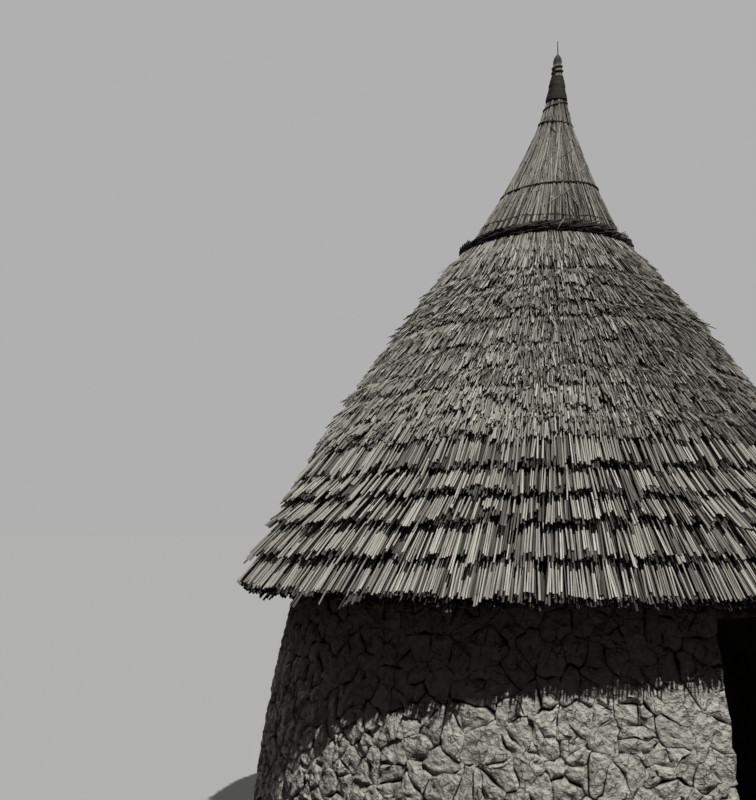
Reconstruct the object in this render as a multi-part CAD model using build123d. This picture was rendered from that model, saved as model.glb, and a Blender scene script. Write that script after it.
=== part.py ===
from build123d import *
from math import asin, ceil, cos, degrees, pi, radians, sin, sqrt, tan
import os

# A round mud hut under a steep thatched roof that is tied into a leaning spire.
# Millimetres. Z is up and is the axis of the hut, the ground is z = 0, and the doorway faces -Y.

# Mud wall, raised in bands that each dry before the next one is laid, and drawn in as it rises
wall_height = 2090
wall_foot_radius = 2075
wall_top_radius = 1680
wall_foot_thickness = 280
wall_top_thickness = 190
wall_curve = 1.55
lift_count = 4
wall_segment_count = 9
wall_flat_count = 66

# Doorway, wider at the foot than at the head, with a mud sill and a lintel of poles laid side by side
door_foot_width = 900
door_head_width = 640
door_head_height = 1600
sill_height = 110
lintel_pole_count = 3
lintel_pole_diameter = 60
lintel_bearing_length = 150
lintel_cover = 12

# Beaten earth floor inside the wall
floor_thickness = 80

# Roof. Every ring of it has this many straight bays, and the overhang is measured down the slope.
bay_count = 20
roof_slope = 56
eave_overhang = 660

# Roof timbers: a plate on the wall, tapered rafters, and hoops of bent sticks that carry the thatch
pole_sides = 12
wall_plate_diameter = 110
rafter_diameter = 76
rafter_head_diameter = 44
rafter_tail_setback = 60
short_rafter_drop = 265
crown_radius = 150
crown_ring_diameter = 50
crown_ring_drop = 70
hoop_diameter = 44
hoop_count = 6
lowest_hoop_rise = 150
highest_hoop_drop = 375

# Thatch. The pattern says how much each course shows beside the others, from the eave course up.
thatch_eave_thickness = 108
thatch_swell = 77
course_pattern = (235, 230, 180, 190, 190, 190, 205, 145, 200, 235, 125, 170, 170, 130)
course_step = 35
course_lap = 200

# Cap: one great sheaf of straw over the top of the roof, tied in to a spire that leans to one side
cap_edge_radius = 654
cap_skirt_length = 275
cap_shelf_width = 50
cap_rope_diameter = 64
cap_hollow_radius = 200
spire_length = 1090
spire_hollow = 1.4
tie_places = (0.30, 0.80, 0.945)
tie_diameters = (22, 20, 16)
tie_bite = 0.5
lean_angle = -39.5
lean_at_tip = 118
lean_bend = 0.56

# Neck and finial: a close winding round the neck, then the tips of the straw, tied once more
neck_entry_radius = 75
neck_length = 284
neck_binding_foot_radius = 80
neck_binding_top_radius = 52
neck_binding_thickness = 16
tuft_length = 93
tuft_radius = 42
tuft_waist_radius = 28
tuft_tip_radius = 12
tip_cord_diameter = 12
stick_diameter = 9
stick_tip_diameter = 6
stick_socket_depth = 55
stick_projection = 73

# Clearances: between pieces that rest on each other, and between neighbours in a ring
seat_gap = 0.5
bundle_gap = 0.6

slope = radians(roof_slope)
half_bay = pi / bay_count


def ruled_solid(outlines):
    """A closed solid ruled from each outline's corners to the next one's. All its faces are flat."""
    faces = [flat_face(outlines[0]), flat_face(outlines[-1])]
    for near, far in zip(outlines, outlines[1:]):
        for k in range(len(near)):
            faces.append(flat_face([near[k - 1], near[k], far[k], far[k - 1]]))
    return Solid(Shell(faces))


def flat_face(corners):
    """A flat face with straight edges."""
    return Face(Wire.make_polygon(corners, close=True))


def even_section(sides, across, centre, turn=0.0):
    """Corners of an even-sided stick section, with one flat facing the direction turn."""
    reach = across / 2 / cos(pi / sides)
    angles = [turn + (2 * k + 1) * pi / sides for k in range(sides)]
    return [(centre[0] + reach * cos(a), centre[1] + reach * sin(a)) for a in angles]


def pole(foot, head, foot_diameter, head_diameter):
    """A straight pole with many flats, which may taper."""
    ends = []
    for end, diameter in ((foot, foot_diameter), (head, head_diameter)):
        plane = Plane(origin=end, x_dir=(0, 1, 0), z_dir=head - foot)
        section = even_section(pole_sides, diameter, (0, 0))
        ends.append([plane.from_local_coords(Vector(x, y, 0)) for x, y in section])
    return ruled_solid(ends)


def bay_wedge():
    """The room that one bay has about +X, short of its two neighbours by half a gap each."""
    far = 2 * wall_foot_radius
    near = bundle_gap / 2 / sin(half_bay)
    width = (far - near) * tan(half_bay)
    outline = make_face(Polyline((near, 0), (far, -width), (far, width), close=True))
    return extrude(outline, amount=4 * wall_height)


def bay_piece(section):
    """A straight piece across one bay, from its section in radius and height."""
    face = Plane.XZ * make_face(Polyline(*section, close=True))
    return extrude(face, amount=wall_foot_radius, both=True) & bay_wedge()


def all_bays(piece):
    """One copy of the piece in every bay, as separate solids."""
    return [Rot(0, 0, k * 360 / bay_count) * piece for k in range(bay_count)]


def bay_outline(radius):
    """Corners of the even-sided outline whose flats stand at the given radius, one to a bay."""
    reach = radius / cos(half_bay)
    angles = [(2 * k + 1) * half_bay for k in range(bay_count)]
    return [(reach * cos(a), reach * sin(a)) for a in angles]


def bound_ring(sides, across, radius, height, turn=0.0):
    """A closed ring with one straight side to a bay, of the given section."""
    path = Wire.make_polygon([Vector(x, y, height) for x, y in bay_outline(radius)], close=True)
    stretch = 1 / cos(half_bay)
    at_corner = [(r * stretch, z) for r, z in even_section(sides, across, (radius, height), turn)]
    face = Plane.XZ * make_face(Polyline(*at_corner, close=True))
    return sweep(Rot(0, 0, degrees(half_bay)) * face, path=path, transition=Transition.RIGHT)


def save(name, solids):
    """Write one sub-part, which may be several solids that do not touch."""
    shape = Compound(children=solids) if len(solids) > 1 else solids[0]
    export_step(shape, f"parts/{name}.step")


# Mud wall

def wall_outer_radius(height):
    """The outer face stands almost upright at the foot and draws in faster towards the top."""
    return wall_foot_radius - (wall_foot_radius - wall_top_radius) * (height / wall_height) ** wall_curve


def wall_inner_radius(height):
    """The inner face is a plain cone."""
    foot = wall_foot_radius - wall_foot_thickness
    top = wall_top_radius - wall_top_thickness
    return foot + (top - foot) * height / wall_height


def wall_arc(start_angle, end_angle):
    """The wall between two angles from +X: its section ruled round the hut in narrow flats."""
    lifts = [wall_height * k / lift_count for k in range(lift_count + 1)]
    section = [(wall_outer_radius(z), z) for z in lifts]
    section += [(wall_inner_radius(wall_height), wall_height), (wall_inner_radius(0), 0)]
    flats = ceil((end_angle - start_angle) * wall_flat_count / 360)
    outlines = []
    for k in range(flats + 1):
        angle = radians(start_angle + (end_angle - start_angle) * k / flats)
        outlines.append([Vector(r * cos(angle), r * sin(angle), z) for r, z in section])
    return ruled_solid(outlines)


def jamb_offset(height):
    """Distance from the doorway's middle to its jambs, which lean together up to the head."""
    share = min(1, height / door_head_height)
    return (door_foot_width + (door_head_width - door_foot_width) * share) / 2


def doorway_block(bottom, top, gap=0):
    """A block that fills the doorway through the wall between two heights, short of the jambs by a gap."""
    depth = 2 * wall_foot_radius
    outlines = []
    for height in (bottom, top):
        half = jamb_offset(height) - gap
        corners = ((-half, -depth), (half, -depth), (half, 0), (-half, 0))
        outlines.append([Vector(x, y, height) for x, y in corners])
    return ruled_solid(outlines)


def lintel_front():
    """Distance from the hut's axis to the front of the lintel, with mud over its ends."""
    half_length = door_head_width / 2 + lintel_bearing_length
    face = wall_outer_radius(door_head_height + lintel_pole_diameter)
    return sqrt(face ** 2 - half_length ** 2) - lintel_cover


def lintel_bed():
    """The room in the wall that the lintel's poles lie in."""
    length = door_head_width + 2 * (lintel_bearing_length + seat_gap)
    depth = lintel_pole_count * (lintel_pole_diameter + seat_gap) + seat_gap
    height = lintel_pole_diameter + 2 * seat_gap
    block = Box(length, depth, height, align=(Align.CENTER, Align.MIN, Align.MIN))
    return Pos(0, -lintel_front() - seat_gap, door_head_height - seat_gap) * block


def wall_segments():
    """The ring of wall from one jamb round to the other, in equal arcs."""
    door_angle = degrees(asin(door_foot_width / 2 / wall_foot_radius))
    gap_angle = degrees(seat_gap / wall_foot_radius)
    span = (360 - 2 * door_angle) / wall_segment_count
    below_head = doorway_block(0, door_head_height)
    opening = below_head + doorway_block(door_head_height, wall_height) + lintel_bed()
    segments = []
    for k in range(wall_segment_count):
        start = -90 + door_angle + k * span + gap_angle / 2
        end = start + span - gap_angle
        if k == 0:
            start = -90
        if k == wall_segment_count - 1:
            end = 270
        segments.append((wall_arc(start, end) - opening).solid())
    return segments


def wall_in_doorway(bottom, top):
    """The stretch of wall between the jambs, from one height to another."""
    between_jambs = doorway_block(bottom, top, gap=seat_gap)
    return (wall_arc(-135, -45) & between_jambs).solid()


def lintel_poles():
    """Poles side by side over the doorway, bedded in the wall at both ends."""
    half_length = door_head_width / 2 + lintel_bearing_length
    height = door_head_height + lintel_pole_diameter / 2
    poles = []
    for k in range(lintel_pole_count):
        place = -lintel_front() + lintel_pole_diameter / 2 + k * (lintel_pole_diameter + seat_gap)
        ends = (Vector(-half_length, place, height), Vector(half_length, place, height))
        poles.append(pole(*ends, lintel_pole_diameter, lintel_pole_diameter))
    return poles


def earth_floor():
    """A disc of beaten earth that fills the foot of the wall."""
    outlines = []
    for height in (0, floor_thickness):
        reach = wall_inner_radius(height) * cos(pi / wall_flat_count) - seat_gap
        angles = [2 * pi * k / wall_flat_count for k in range(wall_flat_count)]
        outlines.append([Vector(reach * cos(a), reach * sin(a), height) for a in angles])
    return ruled_solid(outlines)


# Roof slope, set out from where the rafters bear on the wall plate

def plate_centre():
    """Radius and height of the wall plate's centre: along the middle of the wall's top."""
    return wall_top_radius - wall_top_thickness / 2, wall_height + seat_gap + wall_plate_diameter / 2


def plate_section():
    """Corners of the wall plate's section, lying flat on the wall."""
    return even_section(8, wall_plate_diameter, plate_centre())


def rafter_top_out():
    """Where the rafters' upper side runs, square to the thatch's underside: below the hoops."""
    return -(hoop_diameter + 2 * seat_gap)


def plate_out():
    """Where the wall plate's centre lies, square to the thatch's underside: below the rafters."""
    radius, height = plate_centre()
    reach = max((r - radius) * sin(slope) + (z - height) * cos(slope) for r, z in plate_section())
    return rafter_top_out() - rafter_diameter - seat_gap - reach


def slope_point(rise, out):
    """Radius and height of a point, from its rise up the slope from the eave and its place square to it."""
    plate_radius, plate_height = plate_centre()
    along = rise - eave_overhang
    across = out - plate_out()
    radius = plate_radius - along * cos(slope) + across * sin(slope)
    height = plate_height + along * sin(slope) + across * cos(slope)
    return radius, height


def rise_at_radius(radius, out):
    """How far up the slope a point lies that has this radius."""
    return (slope_point(0, out)[0] - radius) / cos(slope)


# Roof timbers

def rafter_head_rise():
    """How far up the slope the rafters' heads come within the crown's radius."""
    return rise_at_radius(crown_radius, rafter_top_out() - rafter_head_diameter / 2)


def rafter_width(rise):
    """The rafter's diameter, full where it bears on the wall plate and least at the crown."""
    share = (rise - eave_overhang) / (rafter_head_rise() - eave_overhang)
    return rafter_diameter + (rafter_head_diameter - rafter_diameter) * share


def rafter(head_rise):
    """A pole that tapers upwards, its upper side in line with the slope, over +X."""
    ends = []
    widths = []
    for rise in (rafter_tail_setback, head_rise):
        width = rafter_width(rise)
        radius, height = slope_point(rise, rafter_top_out() - width / 2)
        ends.append(Vector(radius, 0, height))
        widths.append(width)
    return pole(*ends, *widths)


def rafters(first, head_rise):
    """Every second bay gets a rafter, starting at the given one."""
    one = rafter(head_rise)
    return [Rot(0, 0, k * 360 / bay_count) * one for k in range(first, bay_count, 2)]


def hoop(rise):
    """One ring of sticks laid across the rafters under the thatch."""
    centre = slope_point(rise, -seat_gap - hoop_diameter / 2)
    return all_bays(bay_piece(even_section(6, hoop_diameter, centre, turn=pi / 2 - slope)))


def crown_ring():
    """A ring of bound sticks that the rafters' heads rest on."""
    rise = rafter_head_rise() - crown_ring_drop
    out = rafter_top_out() - rafter_width(rise) - seat_gap - crown_ring_diameter / 2
    return bound_ring(6, crown_ring_diameter, *slope_point(rise, out), turn=pi / 2 - slope)


# Thatch

def cap_edge_rise():
    """How far up the slope the courses end and the cap begins."""
    return rise_at_radius(cap_edge_radius, 0)


def cap_rope_rise():
    """How far up the slope the cap's rope draws the straw in."""
    return cap_edge_rise() + cap_skirt_length


def thatch_thickness(rise):
    """Thickness square to the slope: it swells half way up and is least at the eave and the rope."""
    share = rise / cap_rope_rise()
    return thatch_eave_thickness + 4 * thatch_swell * share * (1 - share)


def lap_line(rise, gap):
    """Where a course lies on the one below: from under its butts to the underside of the thatch."""
    under = thatch_thickness(rise) - course_step
    length = sqrt(under ** 2 + course_lap ** 2)
    return (rise, under + gap * length / course_lap), (rise + course_lap + gap * length / under, 0)


def thatch_course(rise, next_rise):
    """A ring of grass bundles, butts down, that lies on the course below and shows a step."""
    upper_out, upper_in = lap_line(next_rise, 0)
    if rise > 0:
        lower_out, lower_in = lap_line(rise, seat_gap)
        corners = [lower_out, (rise, thatch_thickness(rise)), upper_out, upper_in, lower_in]
    else:
        corners = [(0, 0), (0, thatch_thickness(0)), upper_out, upper_in]
    return all_bays(bay_piece([slope_point(*corner) for corner in corners]))


# Cap and finial

def rope_seat():
    """Radius and height of the corner that the cap's rope lies in."""
    radius, height = slope_point(cap_rope_rise(), thatch_thickness(cap_rope_rise()))
    return radius - cap_shelf_width, height


def rope_height():
    """Height of the middle of the cap's rope."""
    return rope_seat()[1] + seat_gap + cap_rope_diameter / 2


def neck_height():
    """Height at which the spire enters its winding."""
    return rope_height() + cap_rope_diameter / 2 + spire_length


def tuft_height():
    """Height at which the tips of the straw leave the winding."""
    return neck_height() + neck_length


def tip_height():
    """Height of the tips of the straw."""
    return tuft_height() + tuft_length


def lean(height):
    """How far the spire's centre stands to one side at a height. It straightens as it rises."""
    share = max(0, (height - rope_height()) / (tip_height() - rope_height()))
    offset = lean_at_tip * share * (1 + lean_bend * (1 - share))
    angle = radians(lean_angle)
    return offset * cos(angle), offset * sin(angle)


def straw_outline(height, radius, level=None):
    """The outline of the sheaf at one height, centred as it is there or at another level."""
    x, y = lean(height if level is None else level)
    return [Vector(x + a, y + b, height) for a, b in bay_outline(radius)]


def spire_radius(height):
    """The free spire's radius: hollow in outline, from the rope up to the neck."""
    share = min(1, (neck_height() - height) / spire_length)
    return neck_entry_radius + (rope_seat()[0] - neck_entry_radius) * share ** spire_hollow


def tied_band(height, diameter, radius):
    """Two outlines of the sheaf with an upright band between them, where a cord is tied."""
    half = diameter / 2 + seat_gap
    return [straw_outline(height + side * half, radius, height) for side in (-1, 1)]


def ties():
    """The thin ties round the spire: height, diameter and the radius of the straw under each."""
    found = []
    for place, diameter in zip(tie_places, tie_diameters):
        height = neck_height() - (1 - place) * spire_length
        found.append((height, diameter, spire_radius(height) - tie_bite * diameter))
    return found


def tip_cord():
    """The last cord: height, diameter and the radius of the straw under it."""
    return tuft_height() + tuft_length / 3, tip_cord_diameter, tuft_waist_radius


def cap_thatch():
    """The sheaf from its skirt over the top course up to the tips of its straw."""
    lower_out, lower_in = lap_line(cap_edge_rise(), seat_gap)
    fringe = slope_point(*lower_out)
    brow = slope_point(cap_edge_rise(), thatch_thickness(cap_edge_rise()))
    seat_radius, seat_height = rope_seat()
    outlines = [straw_outline(fringe[1], fringe[0]), straw_outline(brow[1], brow[0])]
    outlines.append(straw_outline(seat_height - 2 * seat_gap, seat_radius + cap_shelf_width))
    outlines += tied_band(rope_height(), cap_rope_diameter, seat_radius)
    below = rope_height() + cap_rope_diameter / 2
    for height, diameter, radius in ties():
        for share in (1 / 3, 2 / 3):
            level = below + (height - below) * share
            outlines.append(straw_outline(level, spire_radius(level)))
        outlines += tied_band(height, diameter, radius)
        below = height + diameter / 2
    outlines.append(straw_outline(neck_height(), neck_binding_foot_radius - neck_binding_thickness))
    outlines.append(straw_outline(tuft_height(), neck_binding_top_radius - neck_binding_thickness))
    outlines.append(straw_outline(tuft_height() + tuft_length / 6, tuft_radius))
    outlines += tied_band(*tip_cord())
    outlines.append(straw_outline(tip_height(), tuft_tip_radius))
    hollow_top = slope_point(rise_at_radius(cap_hollow_radius, 0), 0)
    hollow = ruled_solid([straw_outline(z, r, 0) for r, z in (fringe, slope_point(*lower_in), hollow_top)])
    return (ruled_solid(outlines) - hollow - stick_socket()).solid()


def cap_cord(height, diameter, seat_radius, sides=6):
    """A cord tied round the sheaf, in the band that it has pressed into the straw."""
    ring = bound_ring(sides, diameter, seat_radius + seat_gap + diameter / 2, height)
    return Pos(*lean(height), 0) * ring


def neck_binding():
    """A close winding of cord round the neck, as one tapered sleeve."""
    ends = ((neck_height(), neck_binding_foot_radius), (tuft_height(), neck_binding_top_radius))
    bore = [straw_outline(z, r - neck_binding_thickness + seat_gap) for z, r in ends]
    return (ruled_solid([straw_outline(z, r) for z, r in ends]) - ruled_solid(bore)).solid()


def stick_foot():
    """Where the finial stick stands in the straw."""
    return Vector(*lean(tip_height()), tip_height() - stick_socket_depth)


def stick_socket():
    """The hole that the stick leaves in the straw."""
    bottom = stick_foot() - Vector(0, 0, seat_gap)
    top = stick_foot() + Vector(0, 0, 2 * stick_socket_depth)
    return pole(bottom, top, stick_diameter + 2 * seat_gap, stick_diameter + 2 * seat_gap)


def finial_stick():
    """A thin stick that tapers to its end."""
    head = stick_foot() + Vector(0, 0, stick_socket_depth + stick_projection)
    return pole(stick_foot(), head, stick_diameter, stick_tip_diameter)


def save_wall():
    """Write the wall, what lines its doorway, and the floor."""
    for number, segment in enumerate(wall_segments(), 1):
        save(f"wall_segment_{number:02d}", [segment])
    lintel_top = door_head_height + lintel_pole_diameter + seat_gap
    save("wall_over_door", [wall_in_doorway(lintel_top, wall_height)])
    save("door_sill", [wall_in_doorway(0, sill_height)])
    save("door_lintel", lintel_poles())
    save("earth_floor", [earth_floor()])


def save_timbers():
    """Write the plate, the rafters, the hoops and the crown ring."""
    save("wall_plate", all_bays(bay_piece(plate_section())))
    save("rafters_long", rafters(0, rafter_head_rise()))
    save("rafters_short", rafters(1, rafter_head_rise() - short_rafter_drop))
    highest = rafter_head_rise() - highest_hoop_drop
    pitch = (highest - lowest_hoop_rise) / (hoop_count - 1)
    for number in range(hoop_count):
        save(f"roof_hoop_{number + 1}", hoop(lowest_hoop_rise + number * pitch))
    save("crown_ring", [crown_ring()])


def save_thatch():
    """Write the courses from the eave up."""
    rise = 0
    for number, share in enumerate(course_pattern, 1):
        exposure = share * cap_edge_rise() / sum(course_pattern)
        save(f"thatch_course_{number:02d}", thatch_course(rise, rise + exposure))
        rise += exposure


def save_cap():
    """Write the sheaf, all that ties it, and the stick in its tip."""
    save("cap_thatch", [cap_thatch()])
    save("cap_rope", [cap_cord(rope_height(), cap_rope_diameter, rope_seat()[0], sides=8)])
    for number, tie in enumerate(ties(), 1):
        save(f"cap_tie_{number}", [cap_cord(*tie)])
    save("neck_binding", [neck_binding()])
    save("tip_cord", [cap_cord(*tip_cord())])
    save("finial_stick", [finial_stick()])


os.makedirs("parts", exist_ok=True)
save_wall()
save_timbers()
save_thatch()
save_cap()
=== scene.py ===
import logging
import math
from dataclasses import dataclass, field, replace
from enum import Enum

import bpy
import numpy as np
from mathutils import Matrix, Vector


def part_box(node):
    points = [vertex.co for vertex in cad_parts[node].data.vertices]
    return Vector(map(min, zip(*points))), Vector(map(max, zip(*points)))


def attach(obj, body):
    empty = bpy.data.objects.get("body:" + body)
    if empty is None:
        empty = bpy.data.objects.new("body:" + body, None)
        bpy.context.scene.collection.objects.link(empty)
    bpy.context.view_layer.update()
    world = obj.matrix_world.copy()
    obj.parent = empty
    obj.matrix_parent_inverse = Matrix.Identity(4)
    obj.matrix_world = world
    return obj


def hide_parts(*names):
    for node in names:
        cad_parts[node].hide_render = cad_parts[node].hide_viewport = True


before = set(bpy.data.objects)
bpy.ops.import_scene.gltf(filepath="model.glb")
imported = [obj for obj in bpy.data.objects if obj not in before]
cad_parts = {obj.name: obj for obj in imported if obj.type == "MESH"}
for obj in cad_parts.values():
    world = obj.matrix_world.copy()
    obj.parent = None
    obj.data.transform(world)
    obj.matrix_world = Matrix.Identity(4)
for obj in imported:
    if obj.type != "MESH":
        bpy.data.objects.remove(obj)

# Looks of a round mud hut under a thatched roof. Metres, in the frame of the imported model: Z is up and is
# the axis of the hut, the ground is z = 0 and the doorway faces -Y. Angles go round the axis from +X.

log = logging.getLogger("rondavel")

Tree = bpy.types.NodeTree
Socket = bpy.types.NodeSocket
Piece = bpy.types.Object
Random = np.random.Generator
Values = np.ndarray | float

FULL_TURN = 2 * math.pi
# The darkest painted shade, which leaves a little of the straw's colour in the depths
DARKEST = 0.95
# The cover of points that no row of butts hides
UNCOVERED = -1.0
# A mix of two colours: its share is input 0 and its colours are inputs 6 and 7
MIX = {"kind": "ShaderNodeMix", "output": 2, "data_type": "RGBA"}
# A range stretched to another and held at its ends: value, from low, from high, to low, to high
STRETCH = "ShaderNodeMapRange"
NOISE = "ShaderNodeTexNoise"


def linear(hex_colour: str) -> tuple[float, float, float, float]:
    """Turn an sRGB colour into the linear values that shaders take.

    Args:
        hex_colour: six hex digits after a hash sign.

    Returns:
        Red, green, blue and an alpha of one.
    """
    steps = [int(hex_colour[k:k + 2], 16) / 255 for k in (1, 3, 5)]
    red, green, blue = (s / 12.92 if s <= 0.04045 else ((s + 0.055) / 1.055) ** 2.4 for s in steps)
    return red, green, blue, 1.0


def scale_for(size_mm: float) -> float:
    """Texture scale at which one feature measures size_mm on coordinates in metres."""
    return 1000.0 / size_mm


def add(tree: Tree, kind: str, inputs: dict, output: int | str = 0, **settings: object) -> Socket | None:
    """Add one node with its settings, constants and links.

    Args:
        tree: the node tree that gets the node.
        kind: the node's type name.
        inputs: socket name or number to a constant, or to the output that feeds it; None leaves it alone.
        output: which output to hand back.
        settings: the node's own options.

    Returns:
        The chosen output, or None for a node that has none.
    """
    node = tree.nodes.new(kind)
    for option, value in settings.items():
        setattr(node, option, value)
    for key, value in inputs.items():
        if isinstance(value, Socket):
            tree.links.new(value, node.inputs[key])
        elif value is not None:
            node.inputs[key].default_value = value
    return node.outputs[output] if len(node.outputs) else None


class Mark(Enum):
    """Values that a mesh carries for its finish, each named as the shell's own array is."""

    TONE = "piece_tone"
    DEPTH = "piece_depth"
    COVER = "piece_cover"
    GRAIN = "piece_grain"


@dataclass(frozen=True)
class WallFace:
    """The wall's outer face: its radius draws in from the foot as a power of the height."""

    foot_radius: float = 2.075
    draw_in: float = 0.395
    height: float = 2.09
    curve: float = 1.55

    @property
    def girth(self) -> float:
        """Length round the foot."""
        return FULL_TURN * self.foot_radius

    def radius(self, height: np.ndarray) -> np.ndarray:
        """Outer radius at a height."""
        return self.foot_radius - self.draw_in * np.clip(height / self.height, 0, 1) ** self.curve


@dataclass(frozen=True)
class Finish:
    """A plain finish: the real material's name, two colours in blotches, its roughness and its grit."""

    name: str
    light: str
    dark: str
    roughness: float
    blotch_mm: float = 400.0
    blotch_detail: float = 3.0
    blotch_range: tuple[float, float] = (0.35, 0.65)
    grit_mm: float = 6.0
    grit_detail: float = 4.0
    grit_roughness: float = 0.5
    grit_bump: float = 0.4
    grit_depth: float = 0.002

    def colour(self, tree: Tree, place: Socket) -> Socket:
        """Mix the two colours in blotches.

        Args:
            tree: the material's nodes.
            place: where a point lies on the hut.

        Returns:
            The surface colour.
        """
        size = scale_for(self.blotch_mm)
        blotch = add(tree, NOISE, {"Vector": place, "Scale": size, "Detail": self.blotch_detail})
        share = add(tree, STRETCH, {0: blotch, 1: self.blotch_range[0], 2: self.blotch_range[1]})
        return add(tree, inputs={0: share, 6: linear(self.dark), 7: linear(self.light)}, **MIX)

    def normal(self, tree: Tree, place: Socket, under: Socket | None = None) -> Socket:
        """Raise grit that is too fine for the mesh.

        Args:
            tree: the material's nodes.
            place: where a point lies on the hut.
            under: broader relief that the grit lies on.

        Returns:
            The surface's direction.
        """
        size = scale_for(self.grit_mm)
        fine = {"Vector": place, "Scale": size, "Detail": self.grit_detail, "Roughness": self.grit_roughness}
        grit = add(tree, NOISE, fine)
        bump = {"Height": grit, "Strength": self.grit_bump, "Distance": self.grit_depth, "Normal": under}
        return add(tree, "ShaderNodeBump", bump)

    def material(self) -> bpy.types.Material:
        """Build the material once, and hand back the same one afterwards.

        Returns:
            The material, named for what it is in the real hut.
        """
        made = bpy.data.materials.get(self.name)
        if made is None:
            made = bpy.data.materials.new(self.name)
            made.use_nodes = True
            tree = made.node_tree
            tree.nodes.clear()
            place = add(tree, "ShaderNodeTexCoord", {}, "Object")
            surface = add(tree, "ShaderNodeBsdfPrincipled", {
                "Base Color": self.colour(tree, place),
                "Roughness": self.roughness,
                "Specular IOR Level": 0.3,
                "Normal": self.normal(tree, place),
            })
            add(tree, "ShaderNodeOutputMaterial", {"Surface": surface})
        return made


@dataclass(frozen=True)
class StrawFinish(Finish):
    """Stalks of dry grass: a tone for each stalk, fine streaks along it and painted shade in the depths."""

    grit_bump: float = 0.5
    grit_depth: float = 0.0015
    shade: str = "#35322C"
    streak_mm: float = 2.5
    streak_length_mm: float = 90.0
    stain: float = 0.35
    stain_mm: float = 450.0
    # Painted shade in patches under the next row's butts: patch size, reach and threshold
    hollow_mm: float = 70.0
    hollow_reach: float = 0.03
    hollow_from: float = 0.40

    def along(self, tree: Tree) -> Socket:
        """Draw noise out along each stalk, read from where the mesh says its grain runs.

        Args:
            tree: the material's nodes.

        Returns:
            The noise.
        """
        grain = add(tree, "ShaderNodeAttribute", {}, "Vector", attribute_name=Mark.GRAIN.value)
        stretch = (scale_for(self.streak_mm), scale_for(self.streak_length_mm), 1.0)
        drawn = add(tree, "ShaderNodeVectorMath", {0: grain, 1: stretch}, operation="MULTIPLY")
        return add(tree, NOISE, {"Vector": drawn, "Scale": 1.0, "Detail": 4.0, "Roughness": 0.6})

    def darkness(self, tree: Tree, place: Socket) -> Socket:
        """Take the mesh's own depth mark, mostly painted shade of deeper stalks and inward flanks, or the
        painted shade of hollows that open here and there under the next row's butts.

        Args:
            tree: the material's nodes.
            place: where a point lies on the hut.

        Returns:
            How dark it is, from 0 to 1.
        """
        depth = add(tree, "ShaderNodeAttribute", {}, "Fac", attribute_name=Mark.DEPTH.value)
        cover = add(tree, "ShaderNodeAttribute", {}, "Fac", attribute_name=Mark.COVER.value)
        patch = add(tree, NOISE, {"Vector": place, "Scale": scale_for(self.hollow_mm), "Detail": 2.0})
        reach = add(tree, STRETCH, {0: patch, 1: self.hollow_from, 2: 0.62, 3: -0.006, 4: self.hollow_reach})
        under = add(tree, "ShaderNodeMath", {0: cover, 1: reach}, operation="ADD")
        hollow = add(tree, STRETCH, {0: under, 1: 0.0, 2: 0.016, 3: 0.0, 4: 0.9})
        return add(tree, "ShaderNodeMath", {0: hollow, 1: depth}, operation="MAXIMUM")

    def colour(self, tree: Tree, place: Socket) -> Socket:
        """Lay the stalk's tone, then streaks, then broad weather stains, then the painted shade of the
        depths.

        Args:
            tree: the material's nodes.
            place: where a point lies on the hut.

        Returns:
            The surface colour.
        """
        tone = add(tree, "ShaderNodeAttribute", {}, "Fac", attribute_name=Mark.TONE.value)
        base = add(tree, inputs={0: tone, 6: linear(self.dark), 7: linear(self.light)}, **MIX)
        streak = add(tree, STRETCH, {0: self.along(tree), 1: 0.34, 2: 0.62, 3: 0.52, 4: 1.16})
        streaked = add(tree, inputs={0: 1.0, 6: base, 7: streak}, blend_type="MULTIPLY", **MIX)
        cloud = add(tree, NOISE, {"Vector": place, "Scale": scale_for(self.stain_mm), "Detail": 4.0})
        stain = add(tree, STRETCH, {0: cloud, 1: 0.55, 2: 0.75, 3: 0.0, 4: self.stain})
        stained = add(tree, inputs={0: stain, 6: streaked, 7: linear(self.dark)}, **MIX)
        dark = self.darkness(tree, place)
        return add(tree, inputs={0: dark, 6: stained, 7: linear(self.shade)}, **MIX)

    def normal(self, tree: Tree, place: Socket, under: Socket | None = None) -> Socket:
        """Raise fine ribs along each stalk, which follow its grain wherever it lies."""
        bump = {"Strength": self.grit_bump, "Distance": self.grit_depth, "Normal": under}
        return add(tree, "ShaderNodeBump", {"Height": self.along(tree)} | bump)


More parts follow.
